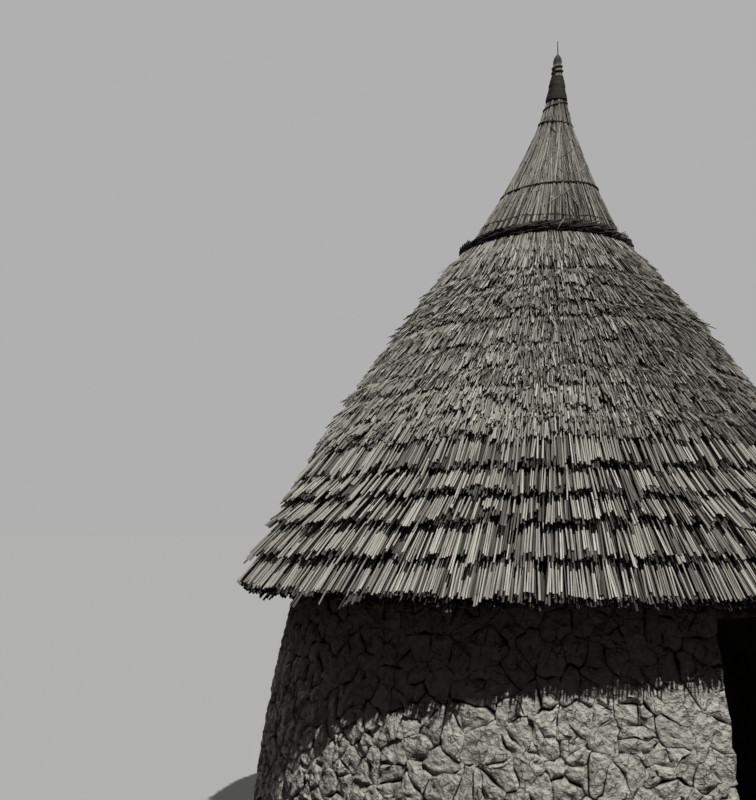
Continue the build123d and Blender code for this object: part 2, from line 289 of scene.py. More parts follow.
@dataclass(frozen=True)
class MudFinish(Finish):
    """Sun-dried mud with chopped straw: dusty faces, flaking relief, fine cracks and dark main cracks."""

    grit_mm: float = 5.0
    grit_detail: float = 3.0
    grit_bump: float = 0.5
    crack: str = "#2A2723"
    crumb_mm: float = 46.0
    lump_mm: float = 38.0
    crazing_mm: float = 84.0
    crazing_patch_mm: float = 110.0

    def bent(self, tree: Tree, place: Socket, size_mm: float, way: float) -> Socket:
        """Move places about by noise, so that cells drawn on them lose their straight edges.

        Args:
            tree: the material's nodes.
            place: where a point lies on the hut.
            size_mm: size of the noise.
            way: how far it moves a place.

        Returns:
            The moved place.
        """
        noise = add(tree, NOISE, {"Vector": place, "Scale": scale_for(size_mm), "Detail": 3.0}, 1)
        moved = {0: noise, 1: (way, way, way), 2: place}
        return add(tree, "ShaderNodeVectorMath", moved, operation="MULTIPLY_ADD")

    def relief(self, tree: Tree, place: Socket) -> Socket:
        """Press broken crumbs and rounder lumps together.

        Args:
            tree: the material's nodes.
            place: where a point lies on the hut.

        Returns:
            The height of the relief.
        """
        crumb = {"Vector": place, "Scale": scale_for(self.crumb_mm), "Detail": 6.0, "Roughness": 0.60}
        rough = add(tree, NOISE, crumb)
        bent = self.bent(tree, place, 30, 0.035)
        lump = add(tree, "ShaderNodeTexVoronoi", {"Vector": bent, "Scale": scale_for(self.lump_mm)})
        return add(tree, "ShaderNodeMath", {0: lump, 1: -0.30, 2: rough}, operation="MULTIPLY_ADD")

    def crazing(self, tree: Tree, place: Socket) -> Socket:
        """Draw the fine cracks that run part of the way across a clod: bent cell edges, kept in patches.

        Args:
            tree: the material's nodes.
            place: where a point lies on the hut.

        Returns:
            One in the cracks and zero elsewhere.
        """
        cell = {"Vector": self.bent(tree, place, 45, 0.05), "Scale": scale_for(self.crazing_mm)}
        edge = add(tree, "ShaderNodeTexVoronoi", cell, feature="DISTANCE_TO_EDGE")
        patch = {"Vector": place, "Scale": scale_for(self.crazing_patch_mm), "Detail": 1.0}
        kept = add(tree, STRETCH, {0: add(tree, NOISE, patch), 1: 0.46, 2: 0.58})
        line = add(tree, STRETCH, {0: edge, 1: 0.008, 2: 0.032, 3: 1.0, 4: 0.0})
        return add(tree, "ShaderNodeMath", {0: line, 1: kept}, operation="MULTIPLY")

    def colour(self, tree: Tree, place: Socket) -> Socket:
        """Lay each clod's own tone, dusty crumbs, fine cracks, then painted shade in the main cracks.

        Args:
            tree: the material's nodes.
            place: where a point lies on the hut.

        Returns:
            The surface colour.
        """
        tone = add(tree, "ShaderNodeAttribute", {}, "Fac", attribute_name=Mark.TONE.value)
        depth = add(tree, "ShaderNodeAttribute", {}, "Fac", attribute_name=Mark.DEPTH.value)
        base = add(tree, inputs={0: tone, 6: linear(self.dark), 7: linear(self.light)}, **MIX)
        dust = add(tree, STRETCH, {0: self.relief(tree, place), 1: 0.16, 2: 0.48, 3: 0.74, 4: 1.12})
        dusty = add(tree, inputs={0: 1.0, 6: base, 7: dust}, blend_type="MULTIPLY", **MIX)
        fine = add(tree, "ShaderNodeMath", {0: self.crazing(tree, place), 1: 0.85}, operation="MULTIPLY")
        crazed = add(tree, inputs={0: fine, 6: dusty, 7: linear(self.crack)}, **MIX)
        return add(tree, inputs={0: depth, 6: crazed, 7: linear(self.crack)}, **MIX)

    def normal(self, tree: Tree, place: Socket, under: Socket | None = None) -> Socket:
        """Cut fine cracks, and raise crumbs and grit.

        Args:
            tree: the material's nodes.
            place: where a point lies on the hut.
            under: broader relief that they lie on.

        Returns:
            The surface's direction.
        """
        cut = {"Height": self.crazing(tree, place), "Strength": 0.9, "Distance": 0.006, "Normal": under}
        cracked = add(tree, "ShaderNodeBump", cut, invert=True)
        crumbs = {"Height": self.relief(tree, place), "Strength": 1.0, "Distance": 0.050, "Normal": cracked}
        return super().normal(tree, place, add(tree, "ShaderNodeBump", crumbs))


@dataclass(frozen=True)
class PlasterFinish(Finish):
    """The wall itself: hand-smoothed mud inside, and painted shade on the outer face where the cracks open.
    """

    # Painted shade for the outer face, seen at the bottom of the cracks
    crack: str = "#1E1B18"
    wall: WallFace = WallFace()

    def outside(self, tree: Tree, place: Socket) -> Socket:
        """Set a point's distance from the axis against the outer radius at its height.

        Args:
            tree: the material's nodes.
            place: where a point lies on the hut.

        Returns:
            One on the outer face and zero inside.
        """
        wall = self.wall
        flat = add(tree, "ShaderNodeVectorMath", {0: place, 1: (1.0, 1.0, 0.0)}, operation="MULTIPLY")
        reach = add(tree, "ShaderNodeVectorMath", {0: flat}, "Value", operation="LENGTH")
        level = add(tree, "ShaderNodeSeparateXYZ", {0: place}, 2)
        share = add(tree, "ShaderNodeMath", {0: level, 1: 1 / wall.height}, operation="MULTIPLY")
        risen = add(tree, "ShaderNodeMath", {0: share, 1: wall.curve}, operation="POWER")
        drawn = add(tree, "ShaderNodeMath", {0: risen, 1: wall.draw_in, 2: reach}, operation="MULTIPLY_ADD")
        return add(tree, STRETCH, {0: drawn, 1: wall.foot_radius - 0.009, 2: wall.foot_radius - 0.006})

    def colour(self, tree: Tree, place: Socket) -> Socket:
        """Lay blotches of smoothed mud, with painted shade on the outer face."""
        inner = super().colour(tree, place)
        return add(tree, inputs={0: self.outside(tree, place), 6: inner, 7: linear(self.crack)}, **MIX)


@dataclass(frozen=True)
class BarkFinish(Finish):
    """Dry bark on poles and sticks: small patches of colour and rough fissures."""

    blotch_mm: float = 60.0
    blotch_detail: float = 5.0
    blotch_range: tuple[float, float] = (0.40, 0.62)
    grit_mm: float = 20.0
    grit_detail: float = 5.0
    grit_roughness: float = 0.7
    grit_bump: float = 0.8
    grit_depth: float = 0.004


# Coarse grass stalks bleached silver by the sun, grey-brown where rain has got at them
COARSE_STALKS = StrawFinish("thatching_grass_coarse_sun_bleached", "#DBD7CC", "#837E74", 0.78,
                            hollow_reach=0.032, hollow_from=0.43)
# Finer grass on the upper courses, a little darker and more tangled to the eye
FINE_STALKS = StrawFinish("thatching_grass_fine_weathered", "#DBD7CC", "#726E65", 0.82, streak_mm=2.0,
                          hollow_mm=170.0, hollow_reach=0.055, hollow_from=0.46)
# Long combed straw of the cap, the smoothest of the roof
COMBED_STRAW = StrawFinish("long_straw_combed_and_tied", "#BDB9AE", "#5C5850", 0.75, streak_mm=2.0,
                           streak_length_mm=40.0, stain=0.25)
# The packed mass under the outer stalks, dark with painted shade, seen only through gaps and from inside
PACKED_STRAW = StrawFinish("thatch_packed_painted_shade", "#4A453D", "#26231F", 0.9)
# Rope twisted by hand from wetted straw: dark, matt and hairy
STRAW_ROPE = StrawFinish("straw_rope_hand_twisted", "#5A564E", "#2A2723", 0.85, streak_length_mm=45.0)
# Thin cord of twisted bark fibre that ties the spire and binds its neck: nearly black
BARK_CORD = StrawFinish("bark_fibre_cord_twisted", "#69645A", "#1D1B19", 0.8, streak_mm=1.5)
# Mud laid by hand and cracked as it dried: pale dusty clods with gritty, flaking faces
SUN_DRIED_MUD = MudFinish("sun_dried_mud_cracked", "#D3CFC4", "#B3AEA4", 0.95)
# Mud plaster smoothed by hand on the inner face and in the doorway, with painted shade on the outer face
HAND_PLASTER = PlasterFinish("mud_plaster_hand_smoothed", "#9C968B", "#7F7A70", 0.93)
# The same plaster on the raised sill, worn smooth by feet
SMOOTH_SILL = Finish("mud_plaster_worn_smooth", "#A29C91", "#827D73", 0.85)
# Earth beaten hard underfoot, with a faint polish
BEATEN_EARTH = Finish("earth_floor_beaten", "#8A8479", "#6C675E", 0.8)
# Bush poles with dry grey bark
DRY_POLES = BarkFinish("bush_pole_dry_bark", "#7D776C", "#45413A", 0.85)
# Thin sticks bound in hoops, browner than the poles
WITHY_STICKS = BarkFinish("withy_stick_smoked", "#6B6459", "#39352F", 0.8, grit_mm=12.0)


@dataclass
class Shell:
    """Points and faces of one closed surface, or of many alike, with the marks its finish reads."""

    points: np.ndarray
    faces: list[np.ndarray]
    tone: np.ndarray
    depth: np.ndarray
    cover: np.ndarray
    grain: np.ndarray
    finish: Finish
    smooth: bool = False
    edged: np.ndarray | None = None


def make_piece(name: str, shells: list[Shell], replaced: tuple[str, ...] = ()) -> Piece:
    """Join shells in one mesh object that rides on the hut.

    Args:
        name: the piece's name.
        shells: what it is made of, each with its own finish.
        replaced: CAD nodes that the piece stands for.

    Returns:
        The new object, at the origin with its place in its mesh.
    """
    starts = np.cumsum([0] + [len(shell.points) for shell in shells])
    finishes = list(dict.fromkeys(shell.finish for shell in shells))
    corners, sizes, slots, smooth = [], [], [], []
    for start, shell in zip(starts, shells):
        for block in shell.faces:
            corners.append((block + start).ravel())
            sizes.append(np.full(len(block), block.shape[1]))
            slots.append(np.full(len(block), finishes.index(shell.finish)))
            smooth.append(np.full(len(block), shell.smooth))
    sizes = np.concatenate(sizes)
    mesh = bpy.data.meshes.new(name)
    mesh.vertices.add(starts[-1])
    mesh.vertices.foreach_set("co", np.concatenate([s.points for s in shells]).astype(np.float32).ravel())
    mesh.loops.add(int(sizes.sum()))
    mesh.loops.foreach_set("vertex_index", np.concatenate(corners).astype(np.int32))
    mesh.polygons.add(len(sizes))
    mesh.polygons.foreach_set("loop_start", (np.cumsum(sizes) - sizes).astype(np.int32))
    mesh.polygons.foreach_set("material_index", np.concatenate(slots).astype(np.int32))
    mesh.polygons.foreach_set("use_smooth", np.concatenate(smooth))
    mesh.update(calc_edges=True)
    if all(shell.edged is not None for shell in shells):
        ends = np.empty(2 * len(mesh.edges), np.int32)
        mesh.edges.foreach_get("vertices", ends)
        edged = np.concatenate([shell.edged for shell in shells])
        sharp = edged[ends].reshape(-1, 2).all(axis=1)
        mesh.attributes.new("sharp_edge", "BOOLEAN", "EDGE").data.foreach_set("value", sharp)
    for mark in Mark:
        kind, member = ("FLOAT_VECTOR", "vector") if mark is Mark.GRAIN else ("FLOAT", "value")
        marks = np.concatenate([getattr(shell, mark.name.lower()) for shell in shells])
        attribute = mesh.attributes.new(mark.value, kind, "POINT")
        attribute.data.foreach_set(member, marks.astype(np.float32).ravel())
    for finish in finishes:
        mesh.materials.append(finish.material())
    piece = bpy.data.objects.new(name, mesh)
    bpy.context.scene.collection.objects.link(piece)
    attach(piece, "root")
    if replaced:
        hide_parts(*replaced)
    log.info("%s: %d triangles", name, int((sizes - 2).sum()))
    return piece


def unit(vectors: np.ndarray) -> np.ndarray:
    """Vectors of length one along the last axis."""
    return vectors / np.maximum(np.linalg.norm(vectors, axis=-1, keepdims=True), 1e-12)


def heading(angle: np.ndarray, up: float = 0.0) -> np.ndarray:
    """Directions at angles round the axis: cosine, sine and an upward part."""
    return np.stack([np.cos(angle), np.sin(angle), up + 0 * angle], axis=-1)


def even_turns(count: int) -> np.ndarray:
    """Angles of places evenly spaced round the axis."""
    return FULL_TURN * np.arange(count) / count


def wrapped(value: np.ndarray, whole: float) -> np.ndarray:
    """A value brought within half a turn of zero, where a whole turn measures whole."""
    return (value + whole / 2) % whole - whole / 2


def wander(angles: np.ndarray, rng: Random, waves: int, size: float) -> np.ndarray:
    """A smooth closed wobble round the hut: a sum of sines with whole numbers of waves.

    Args:
        angles: how far round the hut.
        rng: random draws.
        waves: how many sines.
        size: how large the wobble is.

    Returns:
        The wobble at each angle.
    """
    counts = rng.integers(2, 5 * waves, waves)
    phases = rng.uniform(0, FULL_TURN, waves)
    total = np.sin(angles[..., None] * counts + phases).sum(axis=-1)
    return size * total / math.sqrt(waves / 2)


def in_bundles(rng: Random, count: int, chance: float, steps: tuple[float, float],
               gaps: tuple[float, float]) -> tuple[np.ndarray, np.ndarray]:
    """Stand straws side by side round the hut, in bundles with a gap before each.

    Each straw stands a random step from the last, and the first of a bundle a random gap more. The
    running sum of these ways is brought to a whole turn.

    Args:
        rng: random draws.
        count: how many straws.
        chance: how likely a straw is the first of a bundle.
        steps: least and most step.
        gaps: least and most gap.

    Returns:
        Each straw's angle, and the number of its bundle.
    """
    firsts = rng.random(count) < chance
    ways = rng.uniform(*steps, count) + firsts * rng.uniform(*gaps, count)
    return FULL_TURN * np.cumsum(ways) / ways.sum(), np.cumsum(firsts)


def scattered(rng: Random, bundles: np.ndarray, of_bundle: float, of_straw: float) -> np.ndarray:
    """A random value for each straw: its bundle's, plus its own with another spread."""
    return rng.normal(0, of_bundle, bundles[-1] + 1)[bundles] + rng.normal(0, of_straw, len(bundles))


def straw_tones(rng: Random, count: int, middle: float, spread: float, worn_share: float,
                worn: tuple[float, float]) -> np.ndarray:
    """Tones scattered about a middle one, with a share of the straws darker where weather has worn them."""
    lost = (rng.random(count) < worn_share) * rng.uniform(*worn, count)
    return rng.normal(middle, spread, count) - lost


def ring_faces(number: np.ndarray, closed: bool) -> list[np.ndarray]:
    """Join rings of points by four-sided faces.

    Args:
        number: the points' numbers, bodies by rings by places round each ring.
        closed: whether the last ring joins the first. If not, both end rings get a flat face.

    Returns:
        The faces between the rings, then those of the first rings and of the last ones.
    """
    far = np.roll(number, -1, axis=1)
    near_next, far_next = np.roll(number, -1, axis=2), np.roll(far, -1, axis=2)
    sides = np.stack([number, near_next, far_next, far], axis=-1)
    if closed:
        return [sides.reshape(-1, 4)]
    return [sides[:, :-1].reshape(-1, 4), number[:, 0, ::-1], number[:, -1]]


def tubes(lines: np.ndarray, outward: np.ndarray, widths: Values, sides: int, roll: Values, tone: Values,
          depth: Values, finish: Finish, closed: bool = False, smooth: bool = False,
          cover: Values = UNCOVERED, flank: float = 0.0) -> Shell:
    """Many tubes of few sides, each along its own line.

    A point is the line's point plus half the width times the cosine of its turn across the line and
    the sine of its turn outwards. Open tubes get a flat face at both ends. A flank gets painted shade by
    how far the sine of its turn falls short of 0.7, up to the full amount at 0.5 inwards.

    Args:
        lines: points of each line, tubes by points by three.
        outward: which way is out, broadcast to the lines.
        widths: full width at each point, broadcast to tubes by points.
        sides: sides of the section.
        roll: turn of each tube's section.
        tone: tone of each tube, held between 0 and 1.
        depth: darkness at each point, broadcast to tubes by points.
        finish: what they are made of.
        closed: whether each line ends where it starts.
        smooth: whether the sides shade as one round surface.
        cover: how far each point lies past the next row's butts, broadcast to tubes by points.
        flank: how much painted shade the flanks that face inwards get.

    Returns:
        The joined tubes.
    """
    count, steps = lines.shape[:2]
    size = (count, steps, sides)
    ahead = np.roll(lines, -1, axis=1) - np.roll(lines, 1, axis=1) if closed else np.gradient(lines, axis=1)
    axis = unit(ahead)
    across = unit(np.cross(np.broadcast_to(outward, lines.shape), axis))
    out = np.cross(axis, across)
    turn = (np.reshape(roll, (-1, 1)) + even_turns(sides))[:, None, :, None]
    width = np.broadcast_to(widths, size[:2])[:, :, None]
    swing = np.cos(turn) * across[:, :, None] + np.sin(turn) * out[:, :, None]
    points = lines[:, :, None] + width[..., None] / 2 * swing
    number = np.arange(math.prod(size)).reshape(size)

    run = np.zeros(size[:2])
    run[:, 1:] = np.cumsum(np.linalg.norm(np.diff(lines, axis=1), axis=2), axis=1)
    girth = np.arange(sides) / sides * math.pi * width[:, :1]
    apart = 7.3 * np.arange(count)[:, None, None]
    grain = np.stack(np.broadcast_arrays(girth, run[:, :, None], apart), axis=-1)
    # Painted shade on the flanks that turn inwards
    flank_shade = flank * np.clip(0.7 - np.sin(turn[..., 0]), 0, 1.2) / 1.2
    marks = (
        np.clip(np.reshape(tone, (-1, 1, 1)), 0, 1),
        np.clip(np.broadcast_to(depth, size[:2])[:, :, None] + flank_shade, 0, DARKEST),
        np.broadcast_to(cover, size[:2])[:, :, None],
    )
    each = [np.broadcast_to(mark, size).ravel() for mark in marks]
    faces = ring_faces(number, closed)
    return Shell(points.reshape(-1, 3), faces, *each, grain.reshape(-1, 3), finish, smooth)


def turned_ring(section: np.ndarray, steps: int, depth: float, finish: Finish) -> Shell:
    """A closed ring: a loop of radius and height carried round the axis.

    A point is radius times the cosine and sine of its angle, at its height. The loop runs
    anticlockwise with the radius to the right and the height upwards.

    Args:
        section: the loop's corners, radius and height.
        steps: how many straight steps go round.
        depth: darkness of the surface.
        finish: what it is made of.

    Returns:
        The ring.
    """
    angle = even_turns(steps)[:, None]
    points = section[:, :1] * heading(angle)
    points[..., 2] = section[:, 1]
    number = np.arange(steps * len(section)).reshape(1, steps, -1)
    faces = [block[:, ::-1] for block in ring_faces(number, closed=True)]
    run = np.cumsum(np.linalg.norm(section - np.roll(section, 1, axis=0), axis=1))
    grain = np.stack(np.broadcast_arrays(angle * section[:, 0], run, 0.0), axis=-1)
    flat = np.ones(number.size)
    marks = 0.5 * flat, depth * flat, UNCOVERED * flat, grain.reshape(-1, 3)
    return Shell(points.reshape(-1, 3), faces, *marks, finish, True)


@dataclass(frozen=True)
class Slope:
    """The underside of the thatch: a cone from the eave up, with places given by rise and by out."""

    eave_radius: float
    eave_height: float
    angle: float = math.radians(56)

    @classmethod
    def from_eave(cls, node: str, thickness: float) -> "Slope":
        """Find the eave's lower edge from the box of the eave course and its thickness."""
        low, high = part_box(node)
        return cls(high.x - math.sin(cls.angle) * thickness, low.z)

    def point(self, rise: np.ndarray, out: np.ndarray, angle: np.ndarray) -> np.ndarray:
        """Points in space.

        The radius falls by the cosine of the slope times the rise and grows by its sine times out;
        the height grows by the sine times the rise and the cosine times out.

        Args:
            rise: how far up the slope from the eave.
            out: how far out square to the slope.
            angle: how far round the hut.

        Returns:
            The points, with their three coordinates last.
        """
        sine, cosine = math.sin(self.angle), math.cos(self.angle)
        points = (self.eave_radius - cosine * rise + sine * out)[..., None] * heading(angle)
        points[..., 2] = self.eave_height + sine * rise + cosine * out
        return points

    def section(self, corners: list[tuple[float, float]]) -> np.ndarray:
        """Corners given by rise and out, as radius and height."""
        rise, out = np.array(corners, float).T
        return self.point(rise, out, np.zeros(len(rise)))[:, [0, 2]]

    def outward(self, angle: np.ndarray) -> np.ndarray:
        """The direction square to the slope."""
        return math.sin(self.angle) * heading(angle) + (0, 0, math.cos(self.angle))

    def place_of(self, node: str, step: float) -> tuple[float, float]:
        """Find a course's butts from its box.

        Its outermost corner is the top of the butts, and its lowest is one step further in.

        Args:
            node: the course in the CAD model.
            step: how far the course steps in under its butts.

        Returns:
            Rise and thickness at the butts.
        """
        low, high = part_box(node)
        sine, cosine = math.sin(self.angle), math.cos(self.angle)
        radius = high.x - self.eave_radius
        height = low.z - self.eave_height + cosine * step
        return sine * height - cosine * radius, sine * radius + cosine * height


@dataclass
class Layer:
    """One layer of stalks in a row: how they stand side by side, and how unevenly their butts lie."""

    sink: float
    pitch: float
    width: float
    sides: int
    steps: int
    bundle: float
    gap: float
    butt_scatter: float
    bundle_scatter: float
    lift: float
    shade: float
    hanging: float = 0.0


@dataclass
class Row:
    """One row of butts: where it lies, and where and how deep it goes under the next row."""

    rise: float
    thickness: float
    next_rise: float
    next_top: float
    lap: float
    # Whether the stalks get painted shade where they run under the next row's butts
    hollow: bool
    loose: float = 1.0


@dataclass
class ThatchRoof:
    """Fourteen lapped courses of grass, butts down: coarse stalks below, three rows of finer ones a
    course above. Pairs of values are for the coarse stalks and for the finer ones."""

    slope: Slope
    course_count: int = 14
    coarse_count: int = 5
    middling_count: int = 7
    eave_thickness: float = 0.108
    course_step: float = 0.035
    exposed_dip: float = 0.050
    fine_dip: float = 0.024
    row_dip: float = 0.009
    row_shares: tuple[float, ...] = (0.0, 0.36, 0.68, 1.0)
    row_looseness: tuple[float, ...] = (0.8, 1.6, 1.6)
    overhangs: tuple[float, ...] = (0.0, 0.010, 0.014, 0.010, 0.004)
    lap: float = 0.12
    fine_lap: float = 0.06
    cap_setback: float = 0.036
    cap_thinning: float = 0.012
    core_sinks: tuple[float, float] = (0.034, 0.020)
    core_setback: float = 0.055
    core_lap: float = 0.09
    core_inside: float = 0.004
    core_steps: int = 180
    wobble: float = 0.010
    longest_hang: float = 0.12
    lift_range: tuple[float, float] = (-0.03, 0.014)
    yaws: tuple[float, float] = (0.022, 0.020)
    tangles: tuple[float, float] = (1.0, 2.2)
    # How much painted shade the inward flanks of the stalks get
    flank: float = 0.80
    rain_side: float = math.radians(-84)
    rain_spread: float = math.radians(28)
    rain_stains: tuple[float, float] = (0.12, 0.48)
    seed: int = 11
    places: list[tuple[float, float]] = field(default_factory=list)

    def measure(self) -> None:
        """Read rise and thickness of every course from the frame, and add where the cap begins."""
        nodes = [f"thatch_course_{number:02d}" for number in range(2, self.course_count + 1)]
        self.places = [(0.0, self.eave_thickness)]
        self.places += [self.slope.place_of(node, self.course_step) for node in nodes]
        inner_top = (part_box(nodes[-1])[1].z - self.slope.eave_height) / math.sin(self.slope.angle)
        self.places.append((inner_top - self.cap_setback, self.places[-1][1] - self.cap_thinning))

    def rows(self, number: int) -> list[Row]:
        """The rows of a course: one where stalks are coarse, three where they are finer.

        Args:
            number: index of the course, from 0 at the eave.

        Returns:
            The rows from the lowest up.
        """
        rise, thickness = self.places[number]
        next_rise, next_thickness = self.places[number + 1]
        if number < self.coarse_count:
            out = thickness + self.overhangs[number]
            under_coarse = number + 1 < self.coarse_count
            dip = self.exposed_dip if under_coarse else self.fine_dip
            return [Row(rise, out, next_rise, next_thickness - dip, self.lap, under_coarse)]
        shares = np.array(self.row_shares)
        rises = rise + shares * (next_rise - rise)
        tops = thickness + shares * (next_thickness - thickness)
        dips = (self.row_dip, self.row_dip, self.fine_dip)
        lap = self.lap if number < self.middling_count else self.fine_lap
        rows = []
        for k, loose in enumerate(self.row_looseness):
            under_course = k + 1 == len(dips)
            rows.append(Row(rises[k], tops[k], rises[k + 1], tops[k + 1] - dips[k], lap, under_course, loose))
        return rows

    def layers(self, number: int) -> list[Layer]:
        """Layers of a course: thick stalks low down, thinner ones above, thin straws over most of the roof.

        Every course has a bright layer with many gaps over layers darkened by painted shade. The eave
        course shows its whole thickness at its butts. Each layer's values are its sink, pitch, width,
        sides, steps, stalks in a bundle, gap, scatter of butts and of bundles, lift, shade and share of
        hanging bundles.

        Args:
            number: index of the course, from 0 at the eave.

        Returns:
            The layers from the outermost in.
        """
        if number >= self.middling_count:
            return [
                Layer(0.002, 0.0080, 0.0074, 3, 2, 2.6, 0.0080, 0.015, 0.018, 0.009, 0.0, 0.14),
                Layer(0.009, 0.0084, 0.0078, 3, 2, 3.4, 0.0050, 0.015, 0.018, 0.006, 0.50),
            ]
        if number >= self.coarse_count:
            return [
                Layer(0.004, 0.0112, 0.0108, 3, 2, 2.8, 0.0070, 0.016, 0.024, 0.010, 0.0, 0.18),
                Layer(0.014, 0.0125, 0.0120, 3, 2, 3.6, 0.0040, 0.016, 0.020, 0.007, 0.38),
            ]
        layers = [
            Layer(0.004, 0.0132, 0.0120, 4, 3, 2.3, 0.0150, 0.013, 0.024, 0.011, 0.0, 0.24),
            Layer(0.018, 0.0150, 0.0130, 3, 2, 2.6, 0.0100, 0.016, 0.022, 0.008, 0.62, 0.08),
            Layer(0.030, 0.0165, 0.0150, 3, 2, 4.0, 0.0050, 0.016, 0.018, 0.004, 0.82),
        ]
        if number == 0:
            trimmed = {"butt_scatter": 0.010, "bundle_scatter": 0.010, "hanging": 0.04}
            layers = [replace(layer, **trimmed) for layer in layers]
            depths = np.linspace(0.044, 0.100, 5)
            layers += [Layer(d, 0.0175, 0.0145, 3, 2, 3.0, 0.008, 0.012, 0.012, 0.004, 0.85) for d in depths]
        return layers

    def stalks(self, rng: Random, row: Row, layer: Layer, finish: Finish) -> Shell:
        """The stalks of one layer of one row.

        Stalks stand side by side with a gap before each bundle. Each butt lies at the row's rise plus a
        slow wobble round the hut, its bundle's scatter and its own, and some bundles hang lower; the
        stalk then runs up the slope, sinking from the butts to under the next row. The rain side is
        darker by a bell curve of the angle from it.

        Args:
            rng: the course's random draws.
            row: the row they belong to.
            layer: what the layer is like.
            finish: what the stalks are made of.

        Returns:
            The stalks as one shell.
        """
        fine = finish is FINE_STALKS
        exposed = row.next_rise - row.rise
        butt_radius = self.slope.section([(row.rise, row.thickness)])[0, 0]
        count = int(FULL_TURN * butt_radius / (layer.pitch + layer.gap / layer.bundle))
        steps = (0.8 * layer.pitch, 1.2 * layer.pitch)
        gaps = (0.1 * layer.gap, 2.1 * layer.gap)
        angle, bundles = in_bundles(rng, count, 1 / layer.bundle, steps, gaps)
        groups = bundles[-1] + 1
        hangs = rng.random(groups) < layer.hanging
        hanging = hangs * rng.uniform(0.2, 0.75, groups) * min(exposed, self.longest_hang)
        butt = row.rise + wander(angle, rng, 6, self.wobble)
        butt = butt + rng.normal(0, row.loose * layer.butt_scatter, count)
        butt = butt + (rng.normal(0, layer.bundle_scatter, groups) - hanging)[bundles]
        lifted = np.clip(scattered(rng, bundles, layer.lift, layer.lift / 3), *self.lift_range)
        yaw = self.tangles[fine] * scattered(rng, bundles, *self.yaws)
        length = row.next_rise + row.lap * rng.uniform(0.8, 1.2, count) - butt
        share = np.linspace(0, 1, layer.steps)
        climb = butt[:, None] + share * length[:, None]
        fall = (row.thickness - row.next_top) / exposed
        out = row.thickness - layer.sink - (climb - row.rise) * fall + lifted[:, None] * (1 - 0.6 * share)
        turn = angle[:, None] + share * (length * yaw)[:, None] / butt_radius
        widths = layer.width * rng.uniform(0.70, 1.25, count)[:, None] * (1 - 0.25 * share)
        tone = straw_tones(rng, count, 0.82, 0.10, 0.16, (0.3, 0.7)) + rng.normal(0, 0.12, groups)[bundles]
        from_rain = wrapped(angle - self.rain_side, FULL_TURN) / self.rain_spread
        tone = tone - self.rain_stains[fine] * np.exp(-from_rain ** 2)
        # Painted shade of the deeper layers
        depth = layer.shade + rng.uniform(0, 0.06, count)[:, None]
        # How far past the next butts; the finish paints shade there where the row is hollow
        cover = climb - row.next_rise + (0.0 if row.hollow else UNCOVERED)
        return tubes(self.slope.point(climb, out, turn), self.slope.outward(angle)[:, None], widths,
                     layer.sides, rng.uniform(0, FULL_TURN, count), tone, depth, finish,
                     cover=cover, flank=self.flank)

    def core(self, number: int) -> Shell:
        """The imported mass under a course's outer stalks, as one closed ring.

        Args:
            number: index of the course, from 0 at the eave.

        Returns:
            The ring.
        """
        coarse = number < self.coarse_count
        low = self.places[number][0] + self.core_setback
        high = self.places[number + 1][0] + self.core_lap
        sink = self.core_sinks[not coarse]
        top = self.places[number][1] - sink
        under = self.places[number + 1][1] - (self.exposed_dip if coarse else self.fine_dip) - sink
        inside = self.core_inside
        corners = [(low, inside), (low, top - 0.006), (high, under - 0.012), (high, inside)]
        # The ring is darkened further by painted shade
        return turned_ring(self.slope.section(corners), self.core_steps, 0.75, PACKED_STRAW)

    def build(self) -> list[Piece]:
        """Make a piece for each course, which stands for that course of the CAD model.

        Returns:
            The pieces from the eave up.
        """
        self.measure()
        pieces = []
        for number in range(self.course_count):
            rng = np.random.default_rng(self.seed + number)
            finish = COARSE_STALKS if number < self.coarse_count else FINE_STALKS
            layers = self.layers(number)
            shells = [self.stalks(rng, row, layer, finish) for row in self.rows(number) for layer in layers]
            shells.append(self.core(number))
            node = f"thatch_course_{number + 1:02d}"
            pieces.append(make_piece(f"thatch_{number + 1:02d}", shells, (node,)))
        return pieces


